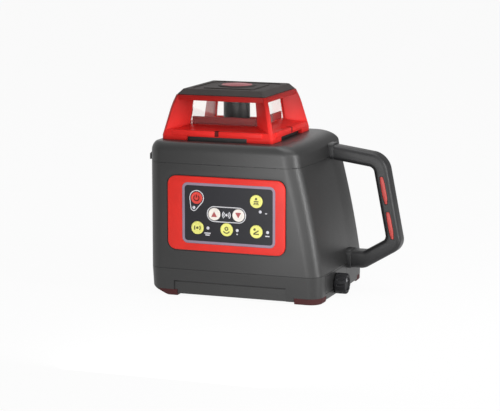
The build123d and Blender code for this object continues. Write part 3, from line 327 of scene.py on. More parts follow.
def between(tree, factor, low, high, span=RAMP):
    """Number that runs from low to high while a factor runs through a span."""
    ends = zip(("From Min", "From Max", "To Min", "To Max"), (*span, low, high))
    return shader_node(tree, "MapRange", "Result", {"Value": factor, **dict(ends)})


def noise(tree, place, scale, detail=3.0):
    """Cloudy pattern on the piece's own place."""
    return shader_node(tree, "TexNoise", "Fac", {"Vector": place, "Scale": scale, "Detail": detail})


def painted_shade_by_height(tree, place, tone, low, high, share):
    """Painted shade: colour that falls to a share of itself between two heights."""
    height = shader_node(tree, "SeparateXYZ", "Z", {"Vector": place})
    level = between(tree, height, 1.0, share, (low, high))
    return shader_node(tree, "VectorMath", "Vector", {"Vector": tone, "Scale": level}, operation="SCALE")


def grained(name, tone, rough, grain, depth, mottle=0.1, shine=0.5, metal=0.0, spread=0.06, cloud=38.0,
            painted_shade=None):
    """Moulded, painted or metal surface: mottled tone, uneven gloss and a fine raised grain, and where given
    a painted shade that darkens it between two heights.
    """
    made, tree, principled = blank(name)
    place = own_place(tree)
    grains = noise(tree, place, grain, 2.0)
    tones = [tuple(min(1, channel * (1 + side * mottle)) for channel in tone) for side in (-1, 1)]
    shade = two_tone(tree, noise(tree, place, cloud), *tones)
    if painted_shade:
        shade = painted_shade_by_height(tree, place, shade, *painted_shade)
    gloss = between(tree, grains, rough - spread, rough + spread)
    bump = shader_node(tree, "Bump", "Normal", {"Strength": 0.6, "Distance": depth, "Height": grains})
    feed(tree, principled, {"Base Color": shade, "Roughness": gloss, "Normal": bump,
                            "Specular IOR Level": shine, "Metallic": metal})
    return made


def clear(name, tone):
    """Glass or clear plastic, a little smeared, that lets lamps through."""
    made, tree, principled = blank(name)
    smear = between(tree, noise(tree, own_place(tree), 60.0), 0, 0.03)
    feed(tree, principled, {"Base Color": (*tone, 1), "Transmission Weight": 1, "IOR": 1.2,
                            "Roughness": smear})
    shadow = shader_node(tree, "LightPath", "Is Shadow Ray", {})
    through = shader_node(tree, "BsdfTransparent", "BSDF", {"Color": (*tone, 1)})
    show_mix(tree, shadow, principled.outputs["BSDF"], through)
    return made


def circuit(name):
    """Green board with paler tracks and pads."""
    pale, deep = (0.03, 0.16, 0.07), (0.01, 0.07, 0.03)
    made, tree, principled = blank(name)
    away = shader_node(tree, "TexVoronoi", "Distance", {"Vector": own_place(tree), "Scale": 160.0},
                       distance="MANHATTAN")
    feed(tree, principled, {"Base Color": two_tone(tree, away, pale, deep),
                            "Roughness": between(tree, away, 0.3, 0.5)})
    return made


def finish(slot):
    """Material of one of the record's slots, made on first use."""
    name = slot + "_finish"
    if name in bpy.data.materials:
        return bpy.data.materials[name]
    if slot in GLASS:
        return clear(name, GLASS[slot])
    if slot == "circuit_board":
        return circuit(name)
    tone, *rest = GRAINED[slot]
    if isinstance(tone, str):
        tone = getattr(bpy.context.scene.level_finish, tone)
    return grained(name, tone, *rest, metal=float(slot in METALS), **FURTHER.get(slot, {}))


# Shared ways of shaping

def bevel(bm, geom, offset, segments, affect="EDGES"):
    """Rounds edges, or the corners of a flat face."""
    bmesh.ops.bevel(bm, geom=geom, offset=offset, offset_type="OFFSET", segments=segments, profile=0.5,
                    affect=affect, material=-1, clamp_overlap=affect == "EDGES")


def of_kind(geom, kind):
    """What is of one kind among what an operator made."""
    return [item for item in geom if isinstance(item, kind)]


def lies_at(edge, axis, place):
    """Whether an edge lies in the plane at a place along an axis."""
    return all(abs(vert.co[axis] - place) < NEAR for vert in edge.verts)


def edges_at(bm, axis, place):
    """Edges that lie in that plane."""
    return [edge for edge in bm.edges if lies_at(edge, axis, place)]


def is_level(edge):
    """Whether an edge runs at one height."""
    return abs(edge.verts[0].co.z - edge.verts[1].co.z) < NEAR


def outward(bm):
    """Turns the faces outwards."""
    bmesh.ops.recalc_face_normals(bm, faces=bm.faces[:])
    return bm


def flat_face(points):
    """Flat face through points, as a mesh of its own."""
    bm = bmesh.new()
    bm.faces.new([bm.verts.new((x, y, 0)) for x, y in points])
    bm.verts.ensure_lookup_table()
    return bm


def rounded_plan(x0, x1, y0, y1, corner, steps=10):
    """Flat rectangle with rounded corners."""
    bm = flat_face(((x0, y0), (x1, y0), (x1, y1), (x0, y1)))
    bevel(bm, bm.verts[:], corner, steps, "VERTICES")
    return bm


def wall_plan(low, high, grow, corner, steps=10):
    """Flat outline of a box seen from the front, grown by some, with rounded corners."""
    return rounded_plan(low.x - grow, high.x + grow, low.z - grow, high.z + grow, corner, steps)


def thicken(bm, low, high):
    """Gives flat faces a thickness between two levels."""
    bmesh.ops.translate(bm, vec=(0, 0, low), verts=bm.verts[:])
    made = bmesh.ops.extrude_face_region(bm, geom=bm.faces[:])["geom"]
    bmesh.ops.translate(bm, vec=(0, 0, high - low), verts=of_kind(made, bmesh.types.BMVert))
    return outward(bm)


def rim(bm, width):
    """Leaves of each flat face only a band of that width along its edge."""
    inner = bm.faces[:]
    bmesh.ops.inset_region(bm, faces=inner, thickness=width, use_even_offset=True, use_boundary=True)
    bmesh.ops.delete(bm, geom=inner, context="FACES")
    return bm


def rounded_block(x0, x1, y0, y1, z0, z1, edge=0.0):
    """Box, with rounded edges where a radius is given."""
    bm = bmesh.new()
    size = Matrix.Diagonal((x1 - x0, y1 - y0, z1 - z0, 1))
    middle = Matrix.Translation(((x0 + x1) / 2, (y0 + y1) / 2, (z0 + z1) / 2))
    bmesh.ops.create_cube(bm, size=1, matrix=middle @ size)
    if edge:
        bevel(bm, bm.edges[:], edge, 3)
    return bm


def turned(profile, steps=48):
    """Solid of revolution about the local Z axis through (radius, height) points."""
    bm = bmesh.new()
    points = [bm.verts.new((radius, 0, height)) for radius, height in profile]
    lines = [bm.edges.new(pair) for pair in zip(points, points[1:])]
    bmesh.ops.spin(bm, geom=points + lines, cent=(0, 0, 0), axis=(0, 0, 1), angle=2 * pi, steps=steps,
                   use_merge=True)
    return tidy(bm)


def plug(radius, low, high):
    """Plain cylinder about the local Z axis."""
    return turned(((0, low), (radius, low), (radius, high), (0, high)))


def tidy(bm):
    """Merges doubled points and turns the faces outwards."""
    bmesh.ops.remove_doubles(bm, verts=bm.verts[:], dist=NEAR)
    return outward(bm)


def placed(bm, matrix):
    """The mesh moved by a matrix."""
    bmesh.ops.transform(bm, matrix=matrix, verts=bm.verts[:])
    return bm


def together(*meshes):
    """One mesh out of several."""
    first = meshes[0]
    for other in meshes[1:]:
        scratch = bpy.data.meshes.new("scratch")
        other.to_mesh(scratch)
        other.free()
        first.from_mesh(scratch)
        bpy.data.meshes.remove(scratch)
    return first


def around_axis(make, sizes):
    """Four of the shape that a function makes of the sizes, at right angles about the upright axis."""
    return together(*[placed(make(sizes), Matrix.Rotation(turn * pi / 2, 4, "Z")) for turn in range(4)])


def draw_up(bm, levels, place, closed=False):
    """Draws the outline of a flat face through levels, each point set by place(x, y, level)."""
    bmesh.ops.delete(bm, geom=bm.faces[:], context="FACES_ONLY")
    ring = first = bm.edges[:]
    for _ in levels[1:]:
        made = bmesh.ops.extrude_edge_only(bm, edges=ring)["geom"]
        fresh = set(of_kind(made, bmesh.types.BMVert))
        ring = [edge for edge in of_kind(made, bmesh.types.BMEdge) if fresh.issuperset(edge.verts)]
        bmesh.ops.translate(bm, vec=(0, 0, 1), verts=list(fresh))
    if closed:
        bmesh.ops.bridge_loops(bm, edges=first + ring)
    for vert in bm.verts:
        vert.co = place(vert.co.x, vert.co.y, levels[round(vert.co.z)])
    return outward(bm)


def cap(bm):
    """Closes every open loop."""
    bmesh.ops.holes_fill(bm, edges=[edge for edge in bm.edges if edge.is_boundary], sides=0)
    return outward(bm)


def cut_off(bm, place, out):
    """Takes away what lies beyond a plane and closes the cut."""
    bmesh.ops.bisect_plane(bm, geom=bm.verts[:] + bm.edges[:] + bm.faces[:], plane_co=place, plane_no=out,
                           clear_outer=True)
    return cap(bm)


def solid_object(bm, name):
    """Object in the scene made of the mesh."""
    mesh = bpy.data.meshes.new(name)
    bm.to_mesh(mesh)
    bm.free()
    made = bpy.data.objects.new(name, mesh)
    bpy.context.scene.collection.objects.link(made)
    return made


def carve(bm, tool):
    """The mesh with a tool cut out of it."""
    stock = solid_object(bm, "stock")
    cutter = solid_object(tool, "cutter")
    step = stock.modifiers.new("carve", "BOOLEAN")
    step.object = cutter
    step.operation = "DIFFERENCE"
    step.solver = "EXACT"
    step.use_self = True
    bpy.context.view_layer.update()
    result = bpy.data.meshes.new_from_object(stock.evaluated_get(bpy.context.evaluated_depsgraph_get()))
    carved = bmesh.new()
    carved.from_mesh(result)
    bmesh.ops.remove_doubles(carved, verts=carved.verts[:], dist=NEAR)
    bmesh.ops.dissolve_degenerate(carved, edges=carved.edges[:], dist=NEAR)
    for spare in (stock.data, cutter.data, result):
        bpy.data.meshes.remove(spare)
    return carved


def add_piece(bm, name, slot, nodes=(), edge=0.0, body="housing"):
    """Finished piece: mesh at the origin, finish, soft edges, and its place in the frame."""
    sharp = radians(35)
    piece = solid_object(bm, name)
    piece.data.shade_smooth()
    piece.data.set_sharp_from_angle(angle=sharp)
    piece.data.materials.append(finish(slot))
    if edge:
        soft = piece.modifiers.new("soft_edges", "BEVEL")
        soft.width = edge
        soft.segments = 3
        soft.limit_method = "ANGLE"
        soft.angle_limit = sharp
        soft.harden_normals = True
    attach(piece, body)
    if nodes:
        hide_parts(*nodes)


# Outline of the body

def climb(z):
    """Share of the way from the base seam to the cover seam."""
    return (z - base_high.z) / (main_high.z - base_high.z)


def right_wall(s, z):
    """From the axis to the right wall's corner line at a height."""
    t = climb(z)
    return s.right + (s.right_top - s.right) * t + s.swell * 4 * t * (1 - t)


def side_bulge(s, z):
    """Bow of the right wall in plan at a height."""
    return s.bulge_base + (s.bulge_top - s.bulge_base) * climb(z)


def body_skin(s, levels, plan=None):
    """Skin of the body through levels of (height, growth, growth of the right wall).

    Its plan is that of one height, or else of each level's own."""
    side_steps = 14

    def place(x, y, level):
        z, grow, right_grow = level
        plan_z = z if plan is None else plan
        core_x = min(max(x, -s.left + s.corner), s.right - s.corner)
        core_y = min(max(y, -s.half_depth + s.corner), s.half_depth - s.corner)
        out_x, out_y = (x - core_x) / s.corner, (y - core_y) / s.corner
        new_x = core_x + out_x * (s.corner + grow)
        if x > s.right - s.corner - NEAR:
            bow = side_bulge(s, plan_z) * (1 - (y / s.half_depth) ** 2) * out_x
            new_x += right_wall(s, plan_z) - s.right + right_grow - grow + bow
        return new_x, core_y + out_y * (s.corner + grow), z

    bm = rounded_plan(-s.left, s.right, -s.half_depth, s.half_depth, s.corner)
    bmesh.ops.subdivide_edges(bm, edges=edges_at(bm, 0, s.right), cuts=side_steps)
    return draw_up(bm, levels, place)


def square_skin(profile, closed=False, steps=6):
    """Skin of rounded squares about the axis through (half width, corner radius, height) points."""
    unit, round_share = 1.0, 0.5

    def place(x, y, level):
        half, corner, z = level
        core = [min(max(c, round_share - unit), unit - round_share) for c in (x, y)]
        out = [(c - k) / round_share for c, k in zip((x, y), core)]
        return [k / round_share * (half - corner) + o * corner for k, o in zip(core, out)] + [z]

    return draw_up(rounded_plan(-unit, unit, -unit, unit, round_share, steps), profile, place, closed)


def bevel_plane(s, inward=0.0):
    """Point and direction of the bevel along the base's lower left edge."""
    return (-s.left + inward, 0, s.bevel_rise + inward), (-s.bevel_rise, 0, -s.bevel_run)


def foot_spans(s):
    """Ends along X of the left and the right feet."""
    left, half = -s.left + s.bevel_run, s.foot_width / 2
    return (left - half, left + half), (s.right - s.right_foot_width, s.right + s.corner)


# Pieces of the body

class LEVEL_OT_base(bpy.types.Operator):
    """Base moulding with its bevel, front field, drawer opening, thread socket and pockets for the feet"""
    bl_idname = "level.base"
    bl_label = "Base"

    def execute(self, context):
        s = context.scene.level_body
        sole, seam, floor = base_low.z, base_high.z, bay_low.z
        e = s.edge
        base = cut_off(body_skin(s, [(sole, -s.draft - e, -e), (sole + e, -s.draft, 0), (seam - e, 0, 0),
                                     (seam, -e, -e)], seam), *bevel_plane(s))
        room = [(z, -s.wall, -s.wall) for z in (floor, seam + s.wall)]
        base = carve(base, cut_off(cap(body_skin(s, room, seam)), *bevel_plane(s, s.wall)))
        gap = tray_low.z - floor
        opening = rounded_block(tray_low.x + s.wall, base_high.x + s.wall, tray_low.y - gap,
                                tray_high.y + gap, floor, tray_high.z + gap)
        thread = plug(s.socket, -s.wall, floor + s.wall)
        base = carve(base, together(opening, self.field(s), thread))
        add_piece(carve(base, self.pockets(s)), "base_moulding", "body_plastic", ["base_housing"])
        return {"FINISHED"}

    @staticmethod
    def field(s):
        """Block that leaves the plain field in the front, its upper edge sloping."""
        outside, inside = base_low.y - s.wall, base_low.y + s.recess_depth
        slope_foot = s.recess_top - s.recess_slope
        field = flat_face(((outside, -s.wall), (inside, -s.wall), (inside, slope_foot),
                           (outside, slope_foot + s.wall + s.recess_depth)))
        thicken(field, s.recess_left, bezel_high.x)
        return placed(field, Matrix.Rotation(pi / 2, 4, "Z") @ UPRIGHT)

    @staticmethod
    def pockets(s):
        """Boxes that leave room for the four feet."""
        rows = ((-s.half_depth - s.corner, -s.half_depth + s.foot_depth),
                (s.half_depth - s.foot_depth, s.half_depth + s.corner))
        return together(*[rounded_block(*span, *row, -s.wall, feet_high.z)
                          for span in foot_spans(s) for row in rows])


class LEVEL_OT_feet(bpy.types.Operator):
    """Four rubber feet let into the corners of the base"""
    bl_idname = "level.feet"
    bl_label = "Feet"

    def execute(self, context):
        s = context.scene.level_body
        gap, sole = 0.2 * MM, 1.2 * MM
        levels = [(feet_low.z, -s.draft - sole, -sole), (sole, -s.draft - gap, -gap),
                  (feet_high.z, -s.draft - gap, -gap)]
        feet = []
        for low_x, high_x in foot_spans(s):
            for side in (-1, 1):
                inner_y = side * (s.half_depth - s.foot_depth + gap)
                foot = cap(body_skin(s, levels, base_high.z))
                cut_off(foot, (low_x + gap, 0, 0), (-1, 0, 0))
                cut_off(foot, (high_x - gap, 0, 0), (1, 0, 0))
                cut_off(foot, (0, inner_y, 0), (0, -side, 0))
                feet.append(cut_off(foot, *bevel_plane(s)))
        add_piece(tidy(together(*feet)), "foot_pads", "foot_rubber", ["rubber_feet"], gap)
        return {"FINISHED"}


class LEVEL_OT_main(bpy.types.Operator):
    """Leaning main housing with the window behind the keypad and the groove round its frame"""
    bl_idname = "level.main"
    bl_label = "Main housing"

    def execute(self, context):
        s, keypad = context.scene.level_body, context.scene.level_keypad
        bands, margin, window_corner = 18, 5 * MM, 3 * MM
        low, high = base_high.z + s.seam, main_high.z
        first, last = low + s.edge, high - s.joint
        levels = [(first + (last - first) * step / bands, 0, 0) for step in range(bands + 1)]
        shell = body_skin(s, [(low, -s.edge, -s.edge), *levels, (high, -s.joint, -s.joint)])
        bmesh.ops.solidify(shell, geom=shell.faces[:], thickness=s.wall)
        window = thicken(wall_plan(panel_low, panel_high, -margin, window_corner, 4), -2 * s.wall, s.wall)
        gap = keypad.gap
        groove = rim(wall_plan(bezel_low, bezel_high, gap, keypad.frame_corner + gap), 2 * gap)
        tools = together(window, thicken(groove, -gap, gap))
        add_piece(carve(shell, placed(tools, FRONT_WALL)), "main_shell", "body_plastic", ["main_housing"])
        return {"FINISHED"}


class LEVEL_OT_cover(bpy.types.Operator):
    """Top cover with its rounded shoulders, side rib, deck and plinth"""
    bl_idname = "level.cover"
    bl_label = "Top cover"

    def execute(self, context):
        s, head = context.scene.level_body, context.scene.level_head
        low, top = main_high.z + s.joint, cover_high.z
        foot, steps, fullness = s.deck - s.shoulder_drop, 10, 1.16
        levels = [(low, -s.joint, -s.joint), (low + s.joint, 0, 0)]
        for step in range(steps + 1):
            turn = pi / 2 * step / steps
            inset = 1 - cos(turn) ** fullness
            right = s.right_lean + (s.right_shoulder - s.right_lean) * inset
            levels.append((foot + s.shoulder_drop * sin(turn) ** fullness, -s.shoulder * inset, -right))
        plinth = square_skin([(head.plinth, head.corner, s.deck), (head.plinth, head.corner, top - s.edge),
                              (head.plinth - s.edge, head.corner, top)])
        cover = together(body_skin(s, levels, cover_low.z), plinth)
        bmesh.ops.bridge_loops(cover, edges=edges_at(cover, 2, s.deck))
        hole = bmesh.new()
        bmesh.ops.create_circle(hole, segments=40, radius=s.deck_hole, matrix=Matrix.Translation((0, 0, top)))
        cover = together(cover, hole)
        bmesh.ops.bridge_loops(cover, edges=[line for line in edges_at(cover, 2, top)
                                             if line.is_boundary or line.is_wire])
        tidy(cover)
        bmesh.ops.solidify(cover, geom=cover.faces[:], thickness=s.wall)
        add_piece(together(cover, self.rib(s)), "cover_shell", "body_plastic", ["top_cover"])
        return {"FINISHED"}

    @staticmethod
    def rib(s):
        """Rib along the left side, sloping at its top."""
        low, top = cover_low.z, cover_low.z + s.rib_height
        root, outer = -s.left + s.wall / 2, -s.left - s.rib_proud
        rib = flat_face(((root, low), (root, top), (-s.left, top), (outer, top - s.rib_slope), (outer, low)))
        thicken(rib, s.corner - s.half_depth, s.half_depth - s.corner)
        shown = [edge for edge in rib.edges if any(vert.co.x < -s.left - NEAR for vert in edge.verts)]
        bevel(rib, shown, 2 * s.edge, 3)
        return placed(rib, UPRIGHT)


# Pieces of the head

class LEVEL_OT_cage(bpy.types.Operator):
    """Red head cage: skirt, sloping shelf, fins, posts, flange and sill bars, and the notches' floors in a
    dark red that is painted shade
    """
    bl_idname = "level.cage"
    bl_label = "Head cage"

    def execute(self, context):
        s = context.scene.level_head
        plinth, curb, eaves, top = cover_high.z, pane_low.z, pane_high.z, cage_high.z
        sill, waist, glass, soft = plinth + s.sill, s.half - s.taper, -pane_low.y, 0.5 * MM
        wide, tight = s.flange_corner, s.corner / 2
        skirt = square_skin([
            (s.half - soft, s.corner, plinth), (s.half, s.corner, plinth + soft),
            (waist + soft / 5, s.corner, sill - soft), (waist - soft, s.corner, sill),
            (s.shelf + soft, s.corner, sill), (s.shelf - soft, s.corner, sill + soft / 2),
            (glass + soft, tight, curb - soft / 4), (glass - soft, tight, curb),
            (s.bore + soft, tight, curb), (s.bore, tight, curb - soft), (s.bore, tight, plinth)], closed=True)
        flange = square_skin([
            (s.flange - soft, wide, eaves), (s.flange, wide, eaves + soft), (s.flange, wide, top - soft),
            (s.flange - soft, wide, top), (s.bore + soft, tight, top), (s.bore, tight, top - soft),
            (s.bore, tight, eaves + soft), (s.bore + soft, tight, eaves)], closed=True)
        parts = [around_axis(make, s) for make in (self.fin, self.post, self.sill_bars, self.foot)]
        add_piece(together(skirt, flange, *parts), "head_frame", "cage_red", ["head_cage"])
        # Floors of the sighting notches in the darker red: painted shade of the grooves.
        add_piece(around_axis(self.mark, s), "sight_marks", "screen_red")
        return {"FINISHED"}

    @staticmethod
    def fin(s):
        """Upright corner fin on the diagonal."""
        diagonal, overlap, bend, soft = sqrt(2), 1 * MM, 5 * MM, 0.7 * MM
        foot_inset, shoulder_inset, top_inset, shoulder_drop = 2 * MM, 1.6 * MM, 2.5 * MM, 4.5 * MM
        foot, eaves, top = cover_high.z, pane_high.z, cage_high.z
        inner = (-pane_low.y - overlap) * diagonal
        inner_top = inner - s.lean * diagonal
        plate = flat_face(((inner, foot), (s.half * diagonal - foot_inset, foot),
                           (s.fin_shoulder * diagonal - shoulder_inset, eaves - shoulder_drop),
                           (s.flange * diagonal - top_inset, top), (inner_top, top), (inner_top, eaves),
                           (inner, pane_low.z)))
        bevel(plate, [plate.verts[2]], bend, 6, "VERTICES")
        thicken(plate, -s.fin / 2, s.fin / 2)
        outer = [edge for edge in plate.edges if is_level(edge) and not lies_at(edge, 1, foot)
                 and sum(vert.co.x for vert in edge.verts) / 2 > inner + NEAR]
        bevel(plate, outer, soft, 3)
        return placed(plate, Matrix.Rotation(pi / 4, 4, "Z") @ UPRIGHT)

    @staticmethod
    def post(s):
        """Slim post at a corner of the glass box, leaning inwards on both sides."""
        outer, bite, soft = -pane_low.y, 1 * MM, 0.7 * MM
        inner, rise = outer - s.post, pane_high.z - pane_low.z
        lean = s.lean / rise
        slant = Matrix(((1, 0, -lean, 0), (0, 1, -lean, 0), (0, 0, 1, pane_low.z), (0, 0, 0, 1)))
        return placed(rounded_block(inner, outer, inner, outer, -bite, rise + bite, soft), slant)

    @staticmethod
    def on_sill(s, low, high, behind, above, edge):
        """Block along the sill, set behind the bars' face and rising above the sill."""
        sill, face = cover_high.z + s.sill, -s.half - s.bar_proud + s.taper
        return rounded_block(low, high, face + behind, -s.shelf, sill - s.bar_height, sill + above, edge)

    @classmethod
    def sill_bars(cls, s):
        """Two halves of a sill bar, either side of the sighting notch."""
        notch, end, above, soft = s.notch / 2, s.bar / 2, 0.05 * MM, 1 * MM
        halves = ((-end, -notch), (notch, end))
        return together(*[cls.on_sill(s, low, high, 0, above, soft) for low, high in halves])

    @classmethod
    def mark(cls, s):
        """Floor of a sighting notch, dark red as painted shade of the groove."""
        return cls.on_sill(s, -s.notch / 2, s.notch / 2, s.mark_depth, 0, 0)

    @staticmethod
    def foot(s):
        """Angled foot of the skirt at a corner."""
        gap, lap, soft = 0.3 * MM, 0.3 * MM, 0.4 * MM
        inner, end = s.plinth + gap, s.half - s.foot
        angle = flat_face(((s.half, end), (s.half, s.half), (end, s.half), (end, inner), (inner, inner),
                           (inner, end)))
        bevel(angle, [angle.verts[1]], s.corner, 5, "VERTICES")
        thicken(angle, cage_low.z, cover_high.z + lap)
        bevel(angle, edges_at(angle, 2, cage_low.z), soft, 2)
        return angle


class LEVEL_OT_screens(bpy.types.Operator):
    """Low walls behind the front and the right panes, their dark red a painted shade of the head's inside"""
    bl_idname = "level.screens"
    bl_label = "Head screens"

    def execute(self, context):
        inner, soft = context.scene.level_head.bore, 0.4 * MM
        low, high = screens_low, screens_high
        front = rounded_block(low.x, high.x, low.y, -inner, low.z, high.z, soft)
        right = rounded_block(inner, high.x, -inner, high.y, low.z, high.z, soft)
        add_piece(together(front, right), "screen_walls", "screen_red", ["head_screens"])
        return {"FINISHED"}


class LEVEL_OT_roof(bpy.types.Operator):
    """Dark roof with its sunk channel and raised ring, and the collar of its round window"""
    bl_idname = "level.roof"
    bl_label = "Roof"

    def execute(self, context):
        s = context.scene.level_head
        ring_rise, soft, depth, edge, bevelled = 1.2 * MM, 1 * MM, 1 * MM, 0.5 * MM, 0.25 * MM
        low, crown, half, corner = roof_low.z, roof_high.z, -roof_low.x, s.roof_corner
        top = crown - ring_rise
        slab = cap(square_skin([(half - soft / 2, corner, low), (half, corner, low + soft / 2),
                                (s.roof_top + soft * 0.6, corner, top - soft * 0.9),
                                (s.roof_top + soft * 0.1, corner, top - soft * 0.3),
                                (s.roof_top - soft, corner, top)], steps=8))
        outer_inset, inner_inset, outer_corner, inner_corner = 5 * MM, 16 * MM, 9 * MM, 3 * MM
        outer, inner = s.roof_top - outer_inset, s.roof_top - inner_inset
        channel = square_skin([(outer - depth / 2, outer_corner, top - depth),
                               (outer, outer_corner, top + depth), (inner, inner_corner, top + depth),
                               (inner + depth / 2, inner_corner, top - depth)], closed=True)
        seat_depth, seat_top, lens_gap = 3 * MM, 5 * MM, 0.15 * MM
        slab = carve(carve(slab, channel), plug(s.lens, top - seat_depth, top + seat_top))
        bore = s.lens + lens_gap
        ring = turned(((bore, top - depth), (bore, crown - edge), (s.lens + edge, crown),
                       (s.roof_ring - edge, crown), (s.roof_ring, crown - edge),
                       (s.roof_ring + edge, top - depth), (bore, top - depth)), 64)
        add_piece(together(slab, ring), "roof_cap", "roof_rubber", ["head_roof"], bevelled)
        proud, inner, outer = 0.35 * MM, s.lens, s.lens + s.lens_collar
        collar = turned(((inner, crown - edge), (outer, crown - edge), (outer, crown),
                         (outer - proud, crown + proud), (inner + proud, crown + proud), (inner, crown),
                         (inner, crown - edge)), 64)
        add_piece(collar, "lens_collar", "lens_red")
        return {"FINISHED"}


# Keypad

KEY_DISH = 0.2 * MM


class LEVEL_OT_bezel(bpy.types.Operator):
    """Red keypad frame with rounded edges"""
    bl_idname = "level.bezel"
    bl_label = "Keypad frame"

    def execute(self, context):
        s = context.scene.level_keypad
        thickness, front_edge, soft = bezel_high.y - bezel_low.y, 1.1 * MM, 0.35 * MM
        outer = thicken(wall_plan(bezel_low, bezel_high, 0, s.frame_corner), 0, thickness)
        bevel(outer, edges_at(outer, 2, thickness), front_edge, 5)
        inner = thicken(wall_plan(panel_low, panel_high, 0, s.panel_corner), -thickness, 2 * thickness)
        ring = placed(carve(outer, inner), FRONT_WALL)
        add_piece(ring, "keypad_frame", "frame_red", ["keypad_bezel"], soft)
        return {"FINISHED"}


def on_wall(x, z):
    """Place on the front wall, for shapes drawn flat about their middle."""
    return FRONT_WALL @ Matrix.Translation((x, z, 0))


def disc(radius, x=0.0, y=0.0, steps=32):
    """Flat disc."""
    bm = bmesh.new()
    bmesh.ops.create_circle(bm, cap_ends=True, segments=steps, radius=radius,
                            matrix=Matrix.Translation((x, y, 0)))
    return bm


def turned_flat(bm, x, y, degrees):
    """Flat shape turned about its middle and set at a place."""
    return placed(bm, Matrix.Translation((x, y, 0)) @ Matrix.Rotation(radians(degrees), 4, "Z"))


def bar(width, height, x=0.0, y=0.0, turn=0.0):
    """Flat bar with rounded ends."""
    corner = 0.3 * min(width, height)
    return turned_flat(rounded_plan(-width / 2, width / 2, -height / 2, height / 2, corner, 3), x, y, turn)


def band(radius, width, start, sweep, x=0.0, y=0.0, steps=24):
    """Flat band along an arc, angles in degrees."""
    bm = bmesh.new()
    ends = [bm.verts.new((radius + side * width / 2, 0, 0)) for side in (-1, 1)]
    line = bm.edges.new(ends)
    bmesh.ops.spin(bm, geom=[*ends, line], cent=(0, 0, 0), axis=(0, 0, 1), angle=radians(sweep), steps=steps,
                   use_merge=sweep == 360)
    return turned_flat(bm, x, y, start)


def key_place(name):
    """Middle of a key on the front wall, its cap's radius, its face and the end of its stem."""
    s = bpy.context.scene.level_keypad
    low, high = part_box(name + "_button")
    radius = (high.x - low.x) / 2 - s.flange
    return (low.x + high.x) / 2, (low.z + high.z) / 2, radius, main_low.y - low.y, main_low.y - high.y


def lamp_places():
    """Middles of the indicator lenses on the front wall, measured in millimetres from the frame's lines."""
    left, right, middle = bezel_low.x, bezel_high.x, (bezel_low.x + bezel_high.x) / 2
    top, bottom = bezel_high.z, bezel_low.z
    places = ((left, 28, top, -31.3), (right, -25.9, top, -31.8), (left, 43, bottom, 23.5),
              (middle, 11.95, bottom, 23), (right, -18.2, bottom, 22.9))
    return [(x + across * MM, z + up * MM) for x, across, z, up in places]


class LEVEL_OT_panel(bpy.types.Operator):
    """Dark keypad film with holes for keys and lamps, and its printed border, outlines and marks"""
    bl_idname = "level.panel"
    bl_label = "Keypad panel"

    def execute(self, context):
        s = context.scene.level_keypad
        face, inset = panel_high.y - panel_low.y, 0.15 * MM
        film = thicken(wall_plan(panel_low, panel_high, 0, s.panel_corner), 0, face)
        holes = [disc(radius + s.clearance, x, z, 48) for x, z, radius, *_ in map(key_place, KEYS)]
        holes += [disc(s.lamp, x, z) for x, z in lamp_places()]
        film = carve(film, together(*[thicken(hole, -face, 2 * face) for hole in holes]))
        add_piece(placed(film, FRONT_WALL), "panel_film", "panel_film", ["keypad_panel"])
        border = rim(wall_plan(panel_low, panel_high, -inset, s.panel_corner - inset), s.border)
        outlines = together(self.capsule(s), self.teardrop(s))
        for flat, name, slot in ((border, "panel_border", "print_border"),
                                 (outlines, "panel_outlines", "print_white"),
                                 (self.marks(), "panel_marks", "print_white")):
            add_piece(placed(thicken(flat, face - s.ink, face + s.ink), FRONT_WALL), name, slot)
        return {"FINISHED"}

    @staticmethod
    def capsule(s):
        """Outline round the two arrow keys."""
        half, roundness = 7.9 * MM, 0.97
        x0, z0, *_ = key_place("up")
        x1 = key_place("down")[0]
        return rim(rounded_plan(x0 - half, x1 + half, z0 - half, z0 + half, half * roundness), s.line)

    @staticmethod
    def teardrop(s):
        """Outline round the power key and its lamp."""
        key_gap, lamp_gap, arc_steps = 1.7 * MM, 1.9 * MM, 28
        x, z, radius, *_ = key_place("power")
        lamp_x, lamp_z = lamp_places()[0]
        big, small = radius + key_gap, s.lamp + lamp_gap
        away = hypot(lamp_x - x, lamp_z - z)
        heading = atan2(lamp_z - z, lamp_x - x)
        lean = pi / 2 - (big - small) / away
        bm = bmesh.new()
        ends = []
        for middle, size, start, sweep in (((x, z), big, heading + lean, 2 * pi - 2 * lean),
                                           ((lamp_x, lamp_z), small, heading - lean, 2 * lean)):
            point = bm.verts.new((middle[0] + size * cos(start), middle[1] + size * sin(start), 0))
            last = bmesh.ops.spin(bm, geom=[point], cent=(*middle, 0), axis=(0, 0, 1), angle=sweep,
                                  steps=arc_steps)["geom_last"]
            ends += [point, of_kind(last, bmesh.types.BMVert)[0]]
        bm.edges.new((ends[1], ends[2]))
        bm.edges.new((ends[3], ends[0]))
        bmesh.ops.contextual_create(bm, geom=bm.edges[:])
        return rim(bm, s.line)

    @staticmethod
    def marks():
        """Plain bars in the places of labels, and a beam sign between the arrow keys."""
        left, top = bezel_low.x, bezel_high.z
        bar_height, dot, stroke, rings, sweep = 1.1 * MM, 1.3 * MM, 0.8 * MM, (2.7 * MM, 4.2 * MM), 100
        # Millimetres across and down from the frame's upper left corner, and the bar's width
        labels = ((104.2, 33.2, 2.0), (42.6, 56.3, 6.6), (42.6, 58.2, 4.6), (73.9, 55.6, 1.6),
                  (105.5, 55.7, 4.4))
        parts = [bar(width * MM, bar_height, left + x * MM, top - z * MM) for x, z, width in labels]
        middle = (left + 62.6 * MM, top - 37.0 * MM)
        parts.append(disc(dot, *middle, 20))
        parts += [band(radius, stroke, start, sweep, *middle, 12) for start in (-50, 130) for radius in rings]
        return together(*parts)


